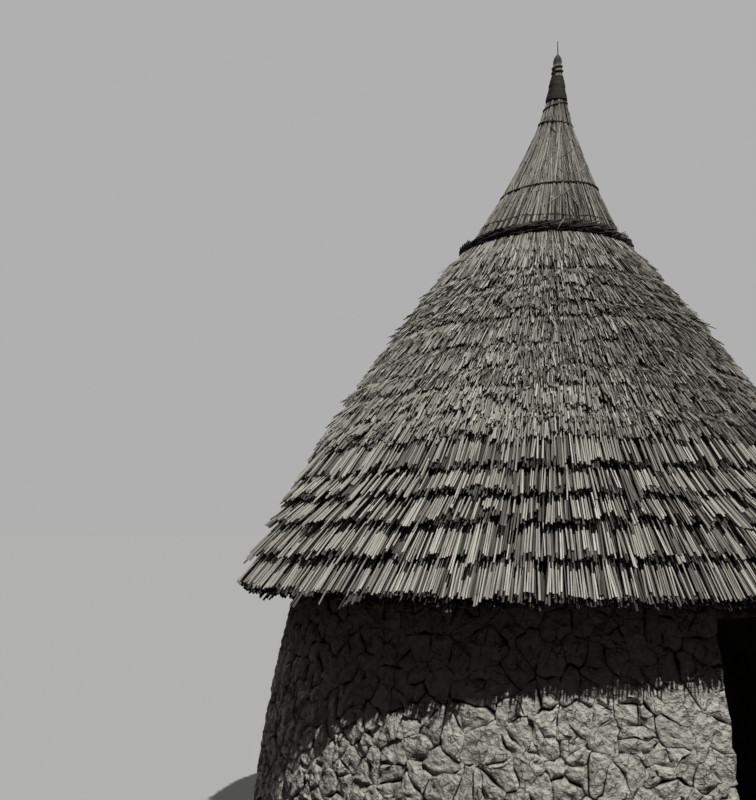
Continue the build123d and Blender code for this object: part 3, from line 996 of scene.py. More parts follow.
@dataclass
class SpireLine:
    """The tied sheaf's outline, read from its cords: where each lies, how far out and how far over."""

    hollow: float = 1.33
    neck: float = 0.082
    foot_spread: float = 0.017
    pinch_depth: float = 0.009
    pinch_length: float = 0.045
    winding_drop: float = 0.025
    winding_length: float = 0.205
    tip_drop: float = 0.026
    ring_nodes: tuple[str, ...] = ("cap_rope", "cap_tie_1", "cap_tie_2", "cap_tie_3", "tip_cord")

    def __post_init__(self) -> None:
        """Measure the cords, the neck and the stick, and fit a parabola to how far they stand over."""
        boxes = [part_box(node) for node in self.ring_nodes]
        self.heights = [(low.z + high.z) / 2 for low, high in boxes]
        self.thick = [high.z - low.z for low, high in boxes]
        self.radii = [(high.x - low.x) / 2 - (high.z - low.z) for low, high in boxes]
        self.neck_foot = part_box("neck_binding")[0].z - self.winding_drop
        self.winding_top = self.neck_foot + self.winding_length
        cap_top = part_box("cap_thatch")[1].z
        self.tip = cap_top - self.tip_drop
        boxes.append(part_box("finial_stick"))
        offsets = np.array([((low.x + high.x) / 2, (low.y + high.y) / 2) for low, high in boxes])
        reach = np.hypot(offsets[:, 0], offsets[:, 1])
        self.over = offsets[-1] / reach[-1]
        self.base = self.heights[0]
        self.bend = np.polyfit(np.array(self.heights + [cap_top]) - self.base, reach, 2)

    def lean(self, height: np.ndarray) -> np.ndarray:
        """How far the centre stands over at a height, in X and Y: a parabola from the rope up."""
        run = np.maximum(height - self.base, 0)
        return (np.polyval(self.bend, run) * (run > 0))[..., None] * self.over

    def radius(self, height: np.ndarray) -> np.ndarray:
        """Radius of the straw from the rope up to the neck: a power of the way down, pinched at each tie.

        Args:
            height: the heights asked for.

        Returns:
            The radius at each.
        """
        share = np.clip((self.neck_foot - height) / (self.neck_foot - self.base), 0, 1)
        radius = self.neck + (self.radii[0] + self.foot_spread - self.neck) * share ** self.hollow
        for level in self.heights[1:4]:
            radius = radius - self.pinch_depth * np.exp(-((height - level) / self.pinch_length) ** 2)
        return radius

    def around(self, height: np.ndarray, radius: np.ndarray, angle: np.ndarray) -> np.ndarray:
        """Points at a distance from the leaning centre line.

        Args:
            height: the height of each.
            radius: its distance from the centre line.
            angle: how far round it is.

        Returns:
            The points, with their three coordinates last.
        """
        points = radius[..., None] * heading(angle)
        points[..., :2] += self.lean(height)
        points[..., 2] = height
        return points


@dataclass
class StrawCap:
    """The great sheaf over the roof's top: a skirt under the rope, a hollow spire, a neck and a tuft."""

    slope: Slope
    line: SpireLine
    fringe: tuple[float, float]
    brow: float = 0.035
    shelf_width: float = 0.050
    neck_rises: tuple[float, ...] = (0.0, 0.205, 0.235, 0.265, 0.292, 0.318, 0.337, 0.355, 0.372)
    neck_radii: tuple[float, ...] = (0.074, 0.038, 0.037, 0.034, 0.029, 0.031, 0.027, 0.020, 0.005)
    dark_rise: float = 0.290
    seam: float = math.radians(-129.5) + 0.12
    sector_count: int = 22
    sector_spread: float = 0.13
    dull_right: tuple[float, float] = (0.22, 1.3)
    pale_left: tuple[float, float, float] = (0.30, 0.35, 1.8)
    handfuls: int = 60
    seed: int = 31
    straw_width: float = 0.0078
    tip_width: float = 0.0065
    stray_width: float = 0.0055
    core_sink: float = 0.020
    core_steps: int = 96
    hollow_rise: float = 3.25
    hollow_wall: float = 0.09

    def shape(self, height: np.ndarray) -> np.ndarray:
        """Outer radius of the whole cap at a height.

        Below its brow the skirt's fringe goes on down the roof's slope; then come straight lines over
        the shelf and the rope's seat, the hollow spire, and straight lines for neck, tuft and tips.

        Args:
            height: the heights asked for.

        Returns:
            The radius at each.
        """
        line = self.line
        fringe_radius, fringe_height = self.fringe
        seat, rope_half = line.radii[0], line.thick[0] / 2
        brow = fringe_height + self.brow * math.cos(self.slope.angle)
        rope_top = line.base + rope_half
        levels = [brow, rope_top - 2 * rope_half, rope_top - rope_half, rope_top]
        radii = [fringe_radius, seat + self.shelf_width, seat + 0.010, float(line.radius(np.array(rope_top)))]
        skirt = np.interp(height, levels, radii) + np.maximum(brow - height, 0) / math.tan(self.slope.angle)
        upper = np.interp(height - line.neck_foot, self.neck_rises, self.neck_radii)
        above = np.where(height < line.neck_foot, line.radius(height), upper)
        return np.where(height < rope_top, skirt, above)

    def core(self) -> Shell:
        """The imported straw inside, closed at the tip and hollow below.

        A point is the cap's radius less the core's sink, at its angle round the leaning line; the
        hollow under it follows the thatch's underside.

        Returns:
            The core as one shell.
        """
        line = self.line
        low = self.fringe[1] + 0.06
        neck = np.linspace(line.neck_foot, line.tip, 14)
        heights = np.concatenate([np.linspace(low, line.neck_foot, 60), neck[1:]])
        outer = self.shape(heights)
        outer = np.maximum(outer - np.minimum(self.core_sink, 0.3 * outer), 0.002)
        hollow_top = self.slope.section([(self.hollow_rise, 0.0)])[0, 1]
        hollow = np.linspace((0.001, hollow_top), (outer[0] - self.hollow_wall, low), 6)
        radii = np.concatenate([hollow[:, 0], outer, [0.001]])
        levels = np.concatenate([hollow[:, 1], heights, [line.tip - 0.002]])
        lean_levels = np.concatenate([np.full(len(hollow), line.base), heights, [line.tip]])
        angle = even_turns(self.core_steps)
        points = radii[:, None, None] * heading(angle)
        points[..., :2] += line.lean(lean_levels)[:, None]
        points[..., 2] = levels[:, None]
        number = np.arange(len(levels) * len(angle)).reshape(1, len(levels), -1)
        grain = np.stack(np.broadcast_arrays(0.3 * angle, levels[:, None], 0.0), axis=-1)
        flat = np.ones(number.size)
        # The core is darkened by painted shade
        marks = 0.5 * flat, 0.7 * flat, UNCOVERED * flat, grain.reshape(-1, 3)
        return Shell(points.reshape(-1, 3), ring_faces(number, closed=False), *marks, PACKED_STRAW, True)

    def sectors(self, angle: np.ndarray) -> np.ndarray:
        """Tone of the handful that a straw came in with: lighter and darker sectors round the sheaf.

        To the right of the seam the straw is duller, and further to its left paler.

        Args:
            angle: how far round each straw is.

        Returns:
            What to add to its tone.
        """
        rng = np.random.default_rng(self.seed + 9)
        edges = np.sort(rng.uniform(0, FULL_TURN, self.sector_count))
        tones = rng.normal(0, self.sector_spread, self.sector_count + 1)
        right, left = (angle - self.seam) % FULL_TURN, (self.seam - angle) % FULL_TURN
        loss, dull_end = self.dull_right
        gain, pale_start, pale_end = self.pale_left
        pale = gain * ((left > pale_start) & (left < pale_end))
        return tones[np.searchsorted(edges, angle % FULL_TURN)] - loss * (right < dull_end) + pale

    def straws(self, rng: Random, feet: tuple[float, float], count: int, length: tuple[float, float],
               steps: int, sink: float, shade: float) -> Shell:
        """Long straws that start between two heights and follow the cap's outline up.

        Each runs from its foot over its length; at each of its heights its distance from the leaning
        centre line is the cap's radius less its sink. They come in handfuls with gaps between, and
        more of them where the cap is wide.

        Args:
            rng: random draws.
            feet: lowest and highest foot.
            count: how many are tried.
            length: shortest and longest.
            steps: points along each.
            sink: how deep they lie.
            shade: how dark they are.

        Returns:
            The straws as one shell.
        """
        foot = rng.uniform(*feet, count)
        weight = self.shape(foot)
        foot = foot[rng.random(count) < weight / weight.max()]
        count = len(foot)
        angle = rng.uniform(0, FULL_TURN, count)
        handful = np.round(angle * self.handfuls / FULL_TURN) * FULL_TURN / self.handfuls
        angle = np.sort(angle + 0.35 * (handful - angle))
        tops = np.minimum(foot + rng.uniform(*length, count), self.line.neck_foot + 0.02)
        share = np.linspace(0, 1, steps)
        height = foot[:, None] + share * (tops - foot)[:, None]
        lifted = rng.normal(0, 0.003, count)[:, None] * (1 - share)
        radius = np.maximum(self.shape(height) - sink + lifted, 0.01)
        drift = rng.normal(0, 0.014, count)[:, None] * share / np.maximum(radius, 0.15)
        lines = self.line.around(height, radius, angle[:, None] + drift)
        widths = self.straw_width * rng.uniform(0.7, 1.25, count)[:, None] * (1 - 0.35 * share)
        tone = straw_tones(rng, count, 0.72, 0.17, 0.15, (0.2, 0.6)) + self.sectors(angle)
        depth = shade + rng.uniform(0, 0.10, count)[:, None]
        return tubes(lines, heading(angle, 0.6)[:, None], widths, 3, rng.uniform(0, FULL_TURN, count), tone,
                     depth, COMBED_STRAW)

    def skirt(self, rng: Random, sink: float, shade: float, count: int) -> Shell:
        """Straws from under the rope down to a ragged fringe, in tufts with gaps between.

        Each runs from its foot up to the rope, at the cap's radius less its sink, and flares at its foot.

        Args:
            rng: random draws.
            sink: how deep they lie.
            shade: how dark they are.
            count: how many straws.

        Returns:
            The straws as one shell.
        """
        angle, tufts = in_bundles(rng, count, 0.34, (0.7, 1.3), (0.0, 2.2))
        foot = self.fringe[1] - 0.005 + scattered(rng, tufts, 0.035, 0.020)
        share = np.linspace(0, 1, 4)
        height = foot[:, None] + share * (self.line.base - foot)[:, None]
        flare = rng.normal(0.0, 0.007, tufts[-1] + 1)[tufts][:, None] * (1 - share)
        drift = rng.normal(0, 0.03, count)[:, None] * (1 - share)
        lines = self.line.around(height, self.shape(height) - sink + flare, angle[:, None] + drift)
        widths = self.straw_width * rng.uniform(0.7, 1.3, count)[:, None] * (0.9 + 0.1 * share)
        tone = straw_tones(rng, count, 0.76, 0.16, 0.2, (0.2, 0.7))
        # The last point, under the rope, gets painted shade
        depth = np.minimum(shade + 0.6 * (share > 0.9), 0.9)
        return tubes(lines, self.slope.outward(angle)[:, None], widths, 3, rng.uniform(0, FULL_TURN, count),
                     tone, depth, FINE_STALKS)

    def tuft(self, rng: Random) -> Shell:
        """The tips of the straw that stand out of the winding: pale below, dark in the last tuft.

        Args:
            rng: random draws.

        Returns:
            The tips as one shell.
        """
        count = 90
        line = self.line
        angle = np.sort(rng.uniform(0, FULL_TURN, count))
        tops = line.tip - 0.002 - rng.exponential(0.012, count)
        foot = line.winding_top - 0.02
        height = foot + np.linspace(0, 1, 8) * (tops - foot)[:, None]
        radius = np.maximum(self.shape(height) - rng.uniform(0, 0.006, count)[:, None], 0.003)
        lines = line.around(height, radius, angle[:, None])
        depth = np.clip((height - line.neck_foot - self.dark_rise) / 0.010, 0, 0.82)
        tone = rng.normal(0.8, 0.15, count)
        return tubes(lines, heading(angle)[:, None], self.tip_width, 3, rng.uniform(0, FULL_TURN, count),
                     tone, depth, COMBED_STRAW)

    def strays(self, rng: Random) -> Shell:
        """A few loose straws that lie across the others, one of them in plain sight.

        Args:
            rng: random draws.

        Returns:
            The strays as one shell.
        """
        count = 34
        low = rng.uniform(self.line.base + 0.05, self.line.neck_foot - 0.25, count)
        angle = rng.uniform(0, FULL_TURN, count)
        rise = rng.uniform(0.06, 0.20, count)
        swing = rng.normal(0, 0.35, count)
        low[0], angle[0], rise[0], swing[0] = 4.75, self.seam + 0.08, 0.12, 0.63
        share = np.linspace(0, 1, 5)
        height = low[:, None] + share * rise[:, None]
        lines = self.line.around(height, self.shape(height) + 0.003, angle[:, None] + share * swing[:, None])
        return tubes(lines, heading(angle, 0.4)[:, None], self.stray_width, 3,
                     rng.uniform(0, FULL_TURN, count), rng.uniform(0.6, 1.0, count), 0.0, COMBED_STRAW)

    def build(self) -> Piece:
        """Make the cap, which stands for the CAD sheaf.

        Three layers of skirt and long straws lie one under the other, the deeper ones darker by painted
        shade; short straws lie over them.

        Returns:
            The piece.
        """
        rng = np.random.default_rng(self.seed)
        rope, neck = self.line.base, self.line.neck_foot
        shells = [self.core(), self.tuft(rng), self.strays(rng)]
        for sink, shade, density in ((0.002, 0.0, 0.8), (0.008, 0.50, 1.0), (0.014, 0.80, 1.2)):
            at_rope, higher = (rope - 0.02, rope + 0.04), (rope, neck - 0.15)
            shells.append(self.skirt(rng, sink, shade, int(330 * density)))
            shells.append(self.straws(rng, at_rope, int(260 * density), (0.35, 0.9), 6, sink, shade))
            shells.append(self.straws(rng, higher, int(800 * density), (0.3, 0.75), 5, sink, shade))
        for shade in (0.0, 0.62):
            shells.append(self.straws(rng, (rope + 0.02, neck - 0.10), 520, (0.035, 0.11), 3, 0.0, shade))
        on_skirt = (self.fringe[1] + 0.05, rope - 0.10)
        shells.append(self.straws(rng, on_skirt, 300, (0.04, 0.12), 3, 0.0, 0.62))
        return make_piece("cap_straw", shells, ("cap_thatch",))


@dataclass
class Cordage:
    """Everything tied round the cap: the thick rope, the thin ties, the neck's winding and the tip's cord."""

    line: SpireLine
    cap: StrawCap
    seed: int = 47
    rope_strands: int = 3
    rope_lay: float = 0.26
    tie_lay: float = 0.06
    tie_shifts_and_tilts: tuple[tuple[float, float], ...] = ((0.018, 0.026), (0.006, -0.012), (-0.004, 0.026))
    slack_rise: float = 0.108
    slack_width: float = 0.0065
    neck_cord_width: float = 0.0095
    winding_radii: tuple[float, float] = (0.0770, 0.0415)
    tip_cord_width: float = 0.0105
    tip_turns: float = 2.3
    sag: float = 0.056
    loose_width: float = 0.006
    caught_width: float = 0.0075

    def twisted(self, centres: np.ndarray, outward: np.ndarray, thickness: float, strands: int, lay: float,
                finish: Finish, sides: int = 6) -> Shell:
        """A closed rope of strands laid round each other.

        Each strand's line is the rope's line plus a turning offset: cosine outwards and sine upwards,
        one whole turn for each lay length. Strands that just touch are made a little thicker.

        Args:
            centres: points of the rope's line, closed.
            outward: the outward direction at each.
            thickness: across the whole rope.
            strands: how many strands.
            lay: length of one turn.
            finish: what it is made of.
            sides: sides of each strand.

        Returns:
            The strands as one shell.
        """
        run = np.linalg.norm(np.roll(centres, -1, axis=0) - centres, axis=1).sum()
        turns = max(1, round(run / lay))
        strand = thickness / (1 + 1 / math.sin(math.pi / strands)) * (1.25 if strands > 2 else 1.15)
        offset = (thickness - strand) / 2
        share = np.arange(len(centres)) / len(centres)
        turn = FULL_TURN * (turns * share + np.arange(strands)[:, None] / strands)
        up = np.array([0.0, 0.0, 1.0])
        lines = centres + offset * (np.cos(turn)[..., None] * outward + np.sin(turn)[..., None] * up)
        return tubes(lines, outward, strand, sides, 0.0, np.linspace(0.3, 0.9, strands), 0.0, finish,
                     closed=True, smooth=True)

    def cord(self, height: np.ndarray, radius: np.ndarray, angle: np.ndarray, width: float, tone: float,
             worn: Values = 0.0, sides: int = 6, closed: bool = False) -> Shell:
        """One round cord through points given by height, distance from the leaning line and angle."""
        centres = self.line.around(height, radius, angle)
        return tubes(centres[None], heading(angle), width, sides, 0.0, tone, worn, BARK_CORD, closed, True)

    def drop(self, angle: np.ndarray) -> np.ndarray:
        """How far the thick rope sags, most at a quarter turn from the seam."""
        return self.sag * np.sin(angle - self.cap.seam) ** 2

    def thick_rope(self) -> Piece:
        """The dark straw rope over the skirt, with loose ends of straw.

        Returns:
            The piece.
        """
        rng = np.random.default_rng(self.seed)
        line = self.line
        angle = even_turns(420)
        half = line.thick[0] / 2
        height = line.base - self.drop(angle) + wander(angle, rng, 4, 0.005)
        radius = line.radii[0] + half + 0.5 * self.drop(angle) + wander(angle, rng, 4, 0.003)
        centres = line.around(height, radius, angle)
        rope = self.twisted(centres, heading(angle), 2 * half, self.rope_strands, self.rope_lay,
                            STRAW_ROPE, sides=8)
        shells = [rope, self.loose_ends(rng, half), self.caught_straws(half)]
        return make_piece("straw_rope", shells, ("cap_rope",))

    def loose_ends(self, rng: Random, half: float) -> Shell:
        """Short straws that lie along the rope and stand a little out of it.

        Each starts on the rope at a turn round it, and slants as it runs on round the hut.

        Args:
            rng: random draws.
            half: half the rope's thickness.

        Returns:
            The straws as one shell.
        """
        count = 620
        line = self.line
        angle = rng.uniform(0, FULL_TURN, count)
        share = np.linspace(0, 1, 3)
        turn = rng.uniform(-0.9, 2.2, count)[:, None]
        length = rng.uniform(0.06, 0.18, count)
        slant = rng.normal(0.35, 0.25, count)
        reach = half + 0.001 + 0.007 * share * rng.random(count)[:, None]
        drop = self.drop(angle)[:, None]
        radius = line.radii[0] + half + 0.5 * drop + reach * np.cos(turn)
        height = line.base - drop + reach * np.sin(turn) + (slant * length)[:, None] * (share - 0.5) * 0.4
        lines = line.around(height, radius, angle[:, None] + share * length[:, None] / 0.55)
        tone = rng.normal(0.6, 0.3, count)
        return tubes(lines, heading(angle)[:, None], self.loose_width, 3, rng.uniform(0, FULL_TURN, count),
                     tone, 0.0, STRAW_ROPE)

    def caught_straws(self, half: float) -> Shell:
        """Two pale straws caught under the rope and bent up over it.

        Each line goes round the rope from below it to above it, its turn growing with its share.

        Args:
            half: half the rope's thickness.

        Returns:
            Both straws as one shell.
        """
        line = self.line
        share = np.linspace(0, 1, 8)
        foot = self.cap.seam - 0.12 + np.array([0.12, 0.93])[:, None]
        turn = -1.35 + share * 2.7
        reach = half + np.array([0.004, 0.009])[:, None]
        radius = line.radii[0] + half + reach * np.cos(turn)
        height = line.base + reach * np.sin(turn) * 1.2
        lines = line.around(height, radius, foot + share * np.array([0.10, 0.03])[:, None])
        return tubes(lines, heading(foot), self.caught_width, 4, 0.0, np.array([1.0, 0.9]), 0.0, COMBED_STRAW)

    def thin_tie(self, number: int, shift: float, tilt: float) -> Piece:
        """A thin cord of two strands in the groove that it has pressed into the straw.

        Args:
            number: which tie, counted from the rope up.
            shift: how far it lies above the middle of the CAD tie.
            tilt: how far it rises towards the side that the spire leans to.

        Returns:
            The piece.
        """
        line = self.line
        angle = even_turns(160)
        side = math.atan2(line.over[1], line.over[0])
        height = line.heights[number] + shift + tilt * np.cos(angle - side)
        thickness = line.thick[number] * 0.8
        centres = line.around(height, self.cap.shape(height) + thickness * 0.28, angle)
        cord = self.twisted(centres, heading(angle), thickness, 2, self.tie_lay, BARK_CORD)
        return make_piece(f"spire_tie_{number}", [cord], (f"cap_tie_{number}",))

    def slack_cord(self) -> Piece:
        """A cord hardly thicker than a straw, laid loosely a hand's breadth above the thick rope.

        Returns:
            The piece.
        """
        rng = np.random.default_rng(self.seed + 2)
        angle = even_turns(160)
        height = self.line.base + self.slack_rise + wander(angle, rng, 3, 0.006)
        radius = self.cap.shape(height) + 0.002 + np.abs(wander(angle, rng, 3, 0.002))
        cord = self.cord(height, radius, angle, self.slack_width, 0.6, sides=5, closed=True)
        return make_piece("slack_cord", [cord])

    def winding(self) -> Piece:
        """The close winding round the neck, one turn touching the next, with a joint part of the way up.

        The line climbs evenly as it turns, and its radius runs straight from foot to top, with a bulge.

        Returns:
            The piece.
        """
        line = self.line
        width = self.neck_cord_width
        turns = line.winding_length / (width * 0.93)
        steps = int(turns * 30)
        way = np.linspace(0, 1, steps)
        height = line.neck_foot + width / 2 + way * (line.winding_length - width)
        rng = np.random.default_rng(self.seed + 1)
        joint = 0.003 * np.exp(-((way - 0.62) / 0.03) ** 2)
        bulge = joint + 0.0018 * np.sin(way * 11.0) + rng.normal(0, 0.0006, steps)
        radius = np.interp(way, [0, 1], self.winding_radii) + bulge
        worn = rng.uniform(0, 0.6, int(turns) + 2)[(turns * way + 0.5).astype(int)]
        cord = self.cord(height, radius, FULL_TURN * turns * way, width, 0.95, worn)
        return make_piece("neck_winding", [cord], ("neck_binding",))

    def tip_spiral(self) -> Piece:
        """The last cord: a spiral up from the winding, then drawn tight under the dark tuft.

        Returns:
            The piece.
        """
        line = self.line
        way = np.linspace(0, 1, 140)
        height = line.winding_top + 0.006 + (self.cap.dark_rise - line.winding_length - 0.002) * way
        radius = self.cap.shape(height) + 0.004
        cord = self.cord(height, radius, FULL_TURN * self.tip_turns * way, self.tip_cord_width, 0.4)
        return make_piece("tip_spiral", [cord], ("tip_cord",))

    def build(self) -> list[Piece]:
        """Make every cord."""
        ties = [self.thin_tie(number, *moves) for number, moves in enumerate(self.tie_shifts_and_tilts, 1)]
        return [self.thick_rope(), *ties, self.slack_cord(), self.winding(), self.tip_spiral()]


@dataclass
class MudFacing:
    """The wall's cracked outer face: rough clods on the wall's segments, with cracks that open and close.

    A place on the face is its distance round from the doorway's middle, at the foot's radius, and its
    height. Each clod is a pile of rings of points, which the ring fields describe from its foot up.
    """

    wall: WallFace = WallFace()
    door_foot_half: float = 0.45
    door_head_half: float = 0.32
    door_taper: float = 1.60
    door_head: float = 1.6605
    clod_width: float = 0.132
    clod_height: float = 0.100
    jitter: float = 0.44
    dropped: float = 0.28
    extra: float = 0.14
    crowding: float = 0.045
    neighbours: int = 20
    corner_power: float = 60.0
    far: float = 1e3
    directions: int = 18
    crack_most: float = 0.0068
    bend: float = 0.0125
    fine_bend: float = 0.0065
    ring_insets: tuple[float, ...] = (0.0, 0.0, 0.0045, 0.015)
    ring_shares: tuple[float, ...] = (0.66, 0.34, 0.0)
    ring_rises: tuple[float, ...] = (-0.013, 0.0125, 0.0140, 0.0160, 0.0180, 0.0195, 0.0195)
    lumps: float = 0.0056
    broad_lumps: float = 0.0030
    least_proud: float = 0.0015
    most_proud: float = 0.032
    door_gap: float = 0.003
    piece_count: int = 9
    seed: int = 5

    def door_half(self, height: np.ndarray) -> np.ndarray:
        """Half the doorway's width: it narrows evenly from the foot to the head."""
        return np.interp(height, [0, self.door_taper], [self.door_foot_half, self.door_head_half])

    def jamb(self, height: np.ndarray) -> np.ndarray:
        """Distance round the wall, at the foot's radius, from the doorway's middle to its jamb."""
        return self.wall.foot_radius * np.arcsin(self.door_half(height) / self.wall.radius(height))

    def seeds(self, rng: Random) -> tuple[np.ndarray, np.ndarray]:
        """Middles of the clods: jittered rows with some left out and some small ones put between.

        Args:
            rng: random draws.

        Returns:
            The middles, and their mirror images across the wall's foot and top.
        """
        girth, top = self.wall.girth, self.wall.height
        rows, columns = round(top / self.clod_height), round(girth / self.clod_width)
        pitch = girth / columns
        row, column = np.meshgrid(np.arange(rows), np.arange(columns), indexing="ij")
        round_by = (column + 0.5 * (row % 2)) * pitch + rng.uniform(-1, 1, row.shape) * self.jitter * pitch
        level = (row + 0.5) * top / rows + rng.uniform(-1, 1, row.shape) * self.jitter * self.clod_height
        kept = rng.random(row.size) > self.dropped
        more = int(self.extra * row.size)
        round_by = wrapped(np.concatenate([round_by.ravel()[kept], rng.uniform(0, girth, more)]), girth)
        level = np.concatenate([level.ravel()[kept], rng.uniform(0.05, top - 0.05, more)])
        found = np.stack([round_by, np.clip(level, 0.03, top - 0.03)], axis=-1)
        inside = (np.abs(found[:, 0]) < self.jamb(found[:, 1]) + 0.02) & (found[:, 1] < self.door_head + 0.02)
        found = found[~inside]
        gap = np.linalg.norm(found[:, None] - found[None], axis=2) + 10 * np.eye(len(found))
        crowded = (np.argmin(gap, axis=1) < np.arange(len(found))) & (gap.min(axis=1) < self.crowding)
        found = found[~crowded]
        return found, np.concatenate([found * (1, -1), found * (1, -1) + (0, 2 * top - 0.01)])

    def own_mirror(self, found: np.ndarray) -> np.ndarray:
        """Way from each clod's middle to its mirror image across the jamb beside it or the lintel under it.

        Args:
            found: the clods' middles.

        Returns:
            The ways; one that leads far off where neither is near.
        """
        aside, level = np.abs(found[:, 0]), found[:, 1]
        slant = (self.jamb(level + 0.01) - self.jamb(level - 0.01)) / 0.02
        off = 2 * (aside - self.jamb(level)) / (1 + slant ** 2)
        beside = (off < 0.8) & (level < self.door_head)
        over = (off < 0) & (level > self.door_head)
        across = np.where(beside, -off * np.sign(found[:, 0]), 0)
        up = np.where(beside, off * slant, np.where(over, 2 * (self.door_head - level), self.far))
        return np.stack([across, up], axis=-1)

    def reach(self, found: np.ndarray, ghosts: np.ndarray, turn: np.ndarray) -> np.ndarray:
        """How far each clod goes in each direction.

        Towards each neighbour the border is the line half way between the two middles. The way to it
        is its distance over the cosine of the direction's angle to it. The nearest border counts,
        softened by a high power so that corners come out a little rounded.

        Args:
            found: the clods' middles.
            ghosts: the mirrored middles.
            turn: the directions, as angles.

        Returns:
            Clods by directions.
        """
        offset = np.concatenate([found, ghosts])[None] - found[:, None]
        offset[..., 0] = wrapped(offset[..., 0], self.wall.girth)
        gap = np.linalg.norm(offset, axis=2)
        gap[gap < 1e-6] = self.far
        near = np.argpartition(gap, self.neighbours, axis=1)[:, :self.neighbours]
        offset = np.take_along_axis(offset, near[..., None], axis=1)
        offset = np.concatenate([offset, self.own_mirror(found)[:, None]], axis=1)
        gap = np.linalg.norm(offset, axis=2)
        facing = np.maximum(offset @ np.stack([np.cos(turn), np.sin(turn)]), 1e-4)
        border = np.clip(gap[..., None] ** 2 / 2 / facing, 1e-3, 10)
        return (border ** -self.corner_power).sum(axis=1) ** (-1 / self.corner_power)

    def outlines(self, found: np.ndarray, ghosts: np.ndarray) -> tuple[np.ndarray, np.ndarray]:
        """Points of each clod's outline, closer together where it turns, so that corners stay sharp.

        The outline is first walked in many small steps. Each step counts for its share of the way
        round and for its share of the turning, and the points stand at equal amounts of that count.

        Args:
            found: the clods' middles.
            ghosts: the mirrored middles.

        Returns:
            Heading of each point from the clod's middle, and how far off it is.
        """
        fine = 120
        turn = FULL_TURN * np.arange(fine + 1) / fine
        border = self.reach(found, ghosts, turn)
        line = border[..., None] * np.stack([np.cos(turn), np.sin(turn)], axis=-1)
        step = np.diff(line, axis=1)
        length = np.linalg.norm(step, axis=2)
        course = np.arctan2(step[..., 1], step[..., 0])
        swing = np.abs(wrapped(course - np.roll(course, 1, axis=1), FULL_TURN))
        swing = swing + np.roll(swing, -1, axis=1)
        count = 0.5 * length / length.sum(axis=1, keepdims=True)
        count = count + 0.5 * swing / swing.sum(axis=1, keepdims=True)
        clod = np.arange(len(found))[:, None]
        passed = np.concatenate([np.zeros((len(found), 1)), np.cumsum(count, axis=1)[:, :-1]], axis=1)
        goal = (np.arange(self.directions) + 0.5) / self.directions + 0 * clod
        at = np.searchsorted((passed + clod).ravel(), (goal + clod).ravel(), side="right") - 1
        at = at.reshape(goal.shape) - fine * clod
        share = (goal - np.take_along_axis(passed, at, 1)) / np.take_along_axis(count, at, 1)
        share = np.clip(share, 0, 1)[..., None]
        start, end = (np.take_along_axis(line, at[..., None] + k, 1) for k in (0, 1))
        spot = (1 - share) * start + share * end
        return unit(spot), np.linalg.norm(spot, axis=2)

    def waves(self, rng: Random, place: np.ndarray, shortest: float, longest: float) -> np.ndarray:
        """A smooth field about one in size, without a seam round the hut.

        Each place is set on the cylinder of the wall's foot, and the field is a sum of sines along
        random headings through it.

        Args:
            rng: random draws for headings, wavelengths and phases.
            place: places on the face, with their two values last.
            shortest: shortest wavelength.
            longest: longest wavelength.

        Returns:
            The field's value at each place.
        """
        count = 18
        way = unit(rng.normal(0, 1, (count, 3)))
        number = FULL_TURN / rng.uniform(shortest, longest, count)
        phase = rng.uniform(0, FULL_TURN, count)
        spot = self.wall.foot_radius * heading(place[..., 0] / self.wall.foot_radius)
        spot[..., 2] = place[..., 1]
        return np.sin(spot @ (way * number[:, None]).T + phase).sum(axis=-1) / math.sqrt(count / 2)

    def bent(self, rng: Random, place: np.ndarray) -> np.ndarray:
        """Move places by smooth fields, less and less towards the wall's edges, so that borders curve.

        Args:
            rng: random draws.
            place: places on the face, with their two values last.

        Returns:
            The moved places.
        """
        beside = np.maximum(np.abs(place[..., 0]) - self.jamb(place[..., 1]), place[..., 1] - self.door_head)
        edge = np.minimum(np.minimum(place[..., 1], self.wall.height - place[..., 1]), beside)
        free = np.clip(edge / 0.06, 0, 1)[..., None]
        moves = []
        for _ in ("round", "up"):
            broad = self.bend * self.waves(rng, place, 0.14, 0.36)
            moves.append(broad + self.fine_bend * self.waves(rng, place, 0.040, 0.09))
        return place + free * np.stack(moves, axis=-1)

    def build(self) -> list[Piece]:
        """Make the clods, in one piece for each stretch of wall.

        Each clod is a pile of rings of points round its middle: the outline sunk in the wall, the
        crack's lip, two rounded shoulders and a tilted, lumpy face. The crack's width and depth are a
        smooth field along the borders, so that it opens and closes. Points go onto the wall at the
        outer radius plus their height above it.

        Returns:
            The pieces.
        """
        rng = np.random.default_rng(self.seed)
        found, ghosts = self.seeds(rng)
        away, border = self.outlines(found, ghosts)
        edge = found[:, None] + border[..., None] * away
        opened = np.clip(0.16 + 0.60 * self.waves(rng, edge, 0.08, 0.22), 0, 1)
        border = border - self.crack_most * opened / 2
        border = border * (1 + rng.normal(0, 0.012, border.shape))
        shoulder = np.maximum(border - np.array(self.ring_insets)[:, None, None], 0.3 * border)
        rings = np.concatenate([shoulder, border * np.array(self.ring_shares)[:, None, None]])
        sunk, lip = self.ring_rises[:2]
        rise = np.array(self.ring_rises)[:, None, None] + np.zeros(rings.shape)
        rise[1] -= lip * np.clip(1.6 * opened, 0, 1)
        rise[2] -= 0.0040 * opened
        offset = rings[..., None] * away
        place = self.bent(rng, found[:, None] + offset)
        tilt = rng.normal(0, 0.12, found.shape)[:, None]
        leaning = np.clip((offset * tilt).sum(axis=-1), -0.010, 0.010)
        own = rng.normal(0, 0.0028, len(found))[:, None]
        lumps = self.lumps * self.waves(rng, place, 0.032, 0.075)
        lumps = lumps + self.broad_lumps * self.waves(rng, place, 0.10, 0.25)
        proud = rise + np.clip((rise - sunk) / 0.025, 0, 1) * (leaning + lumps + own)
        proud[2:] = np.maximum(proud[2:], self.least_proud)
        level = np.clip(place[..., 1], 0.004, self.wall.height - 0.004)
        radius = self.wall.radius(level) + np.minimum(proud, self.most_proud)
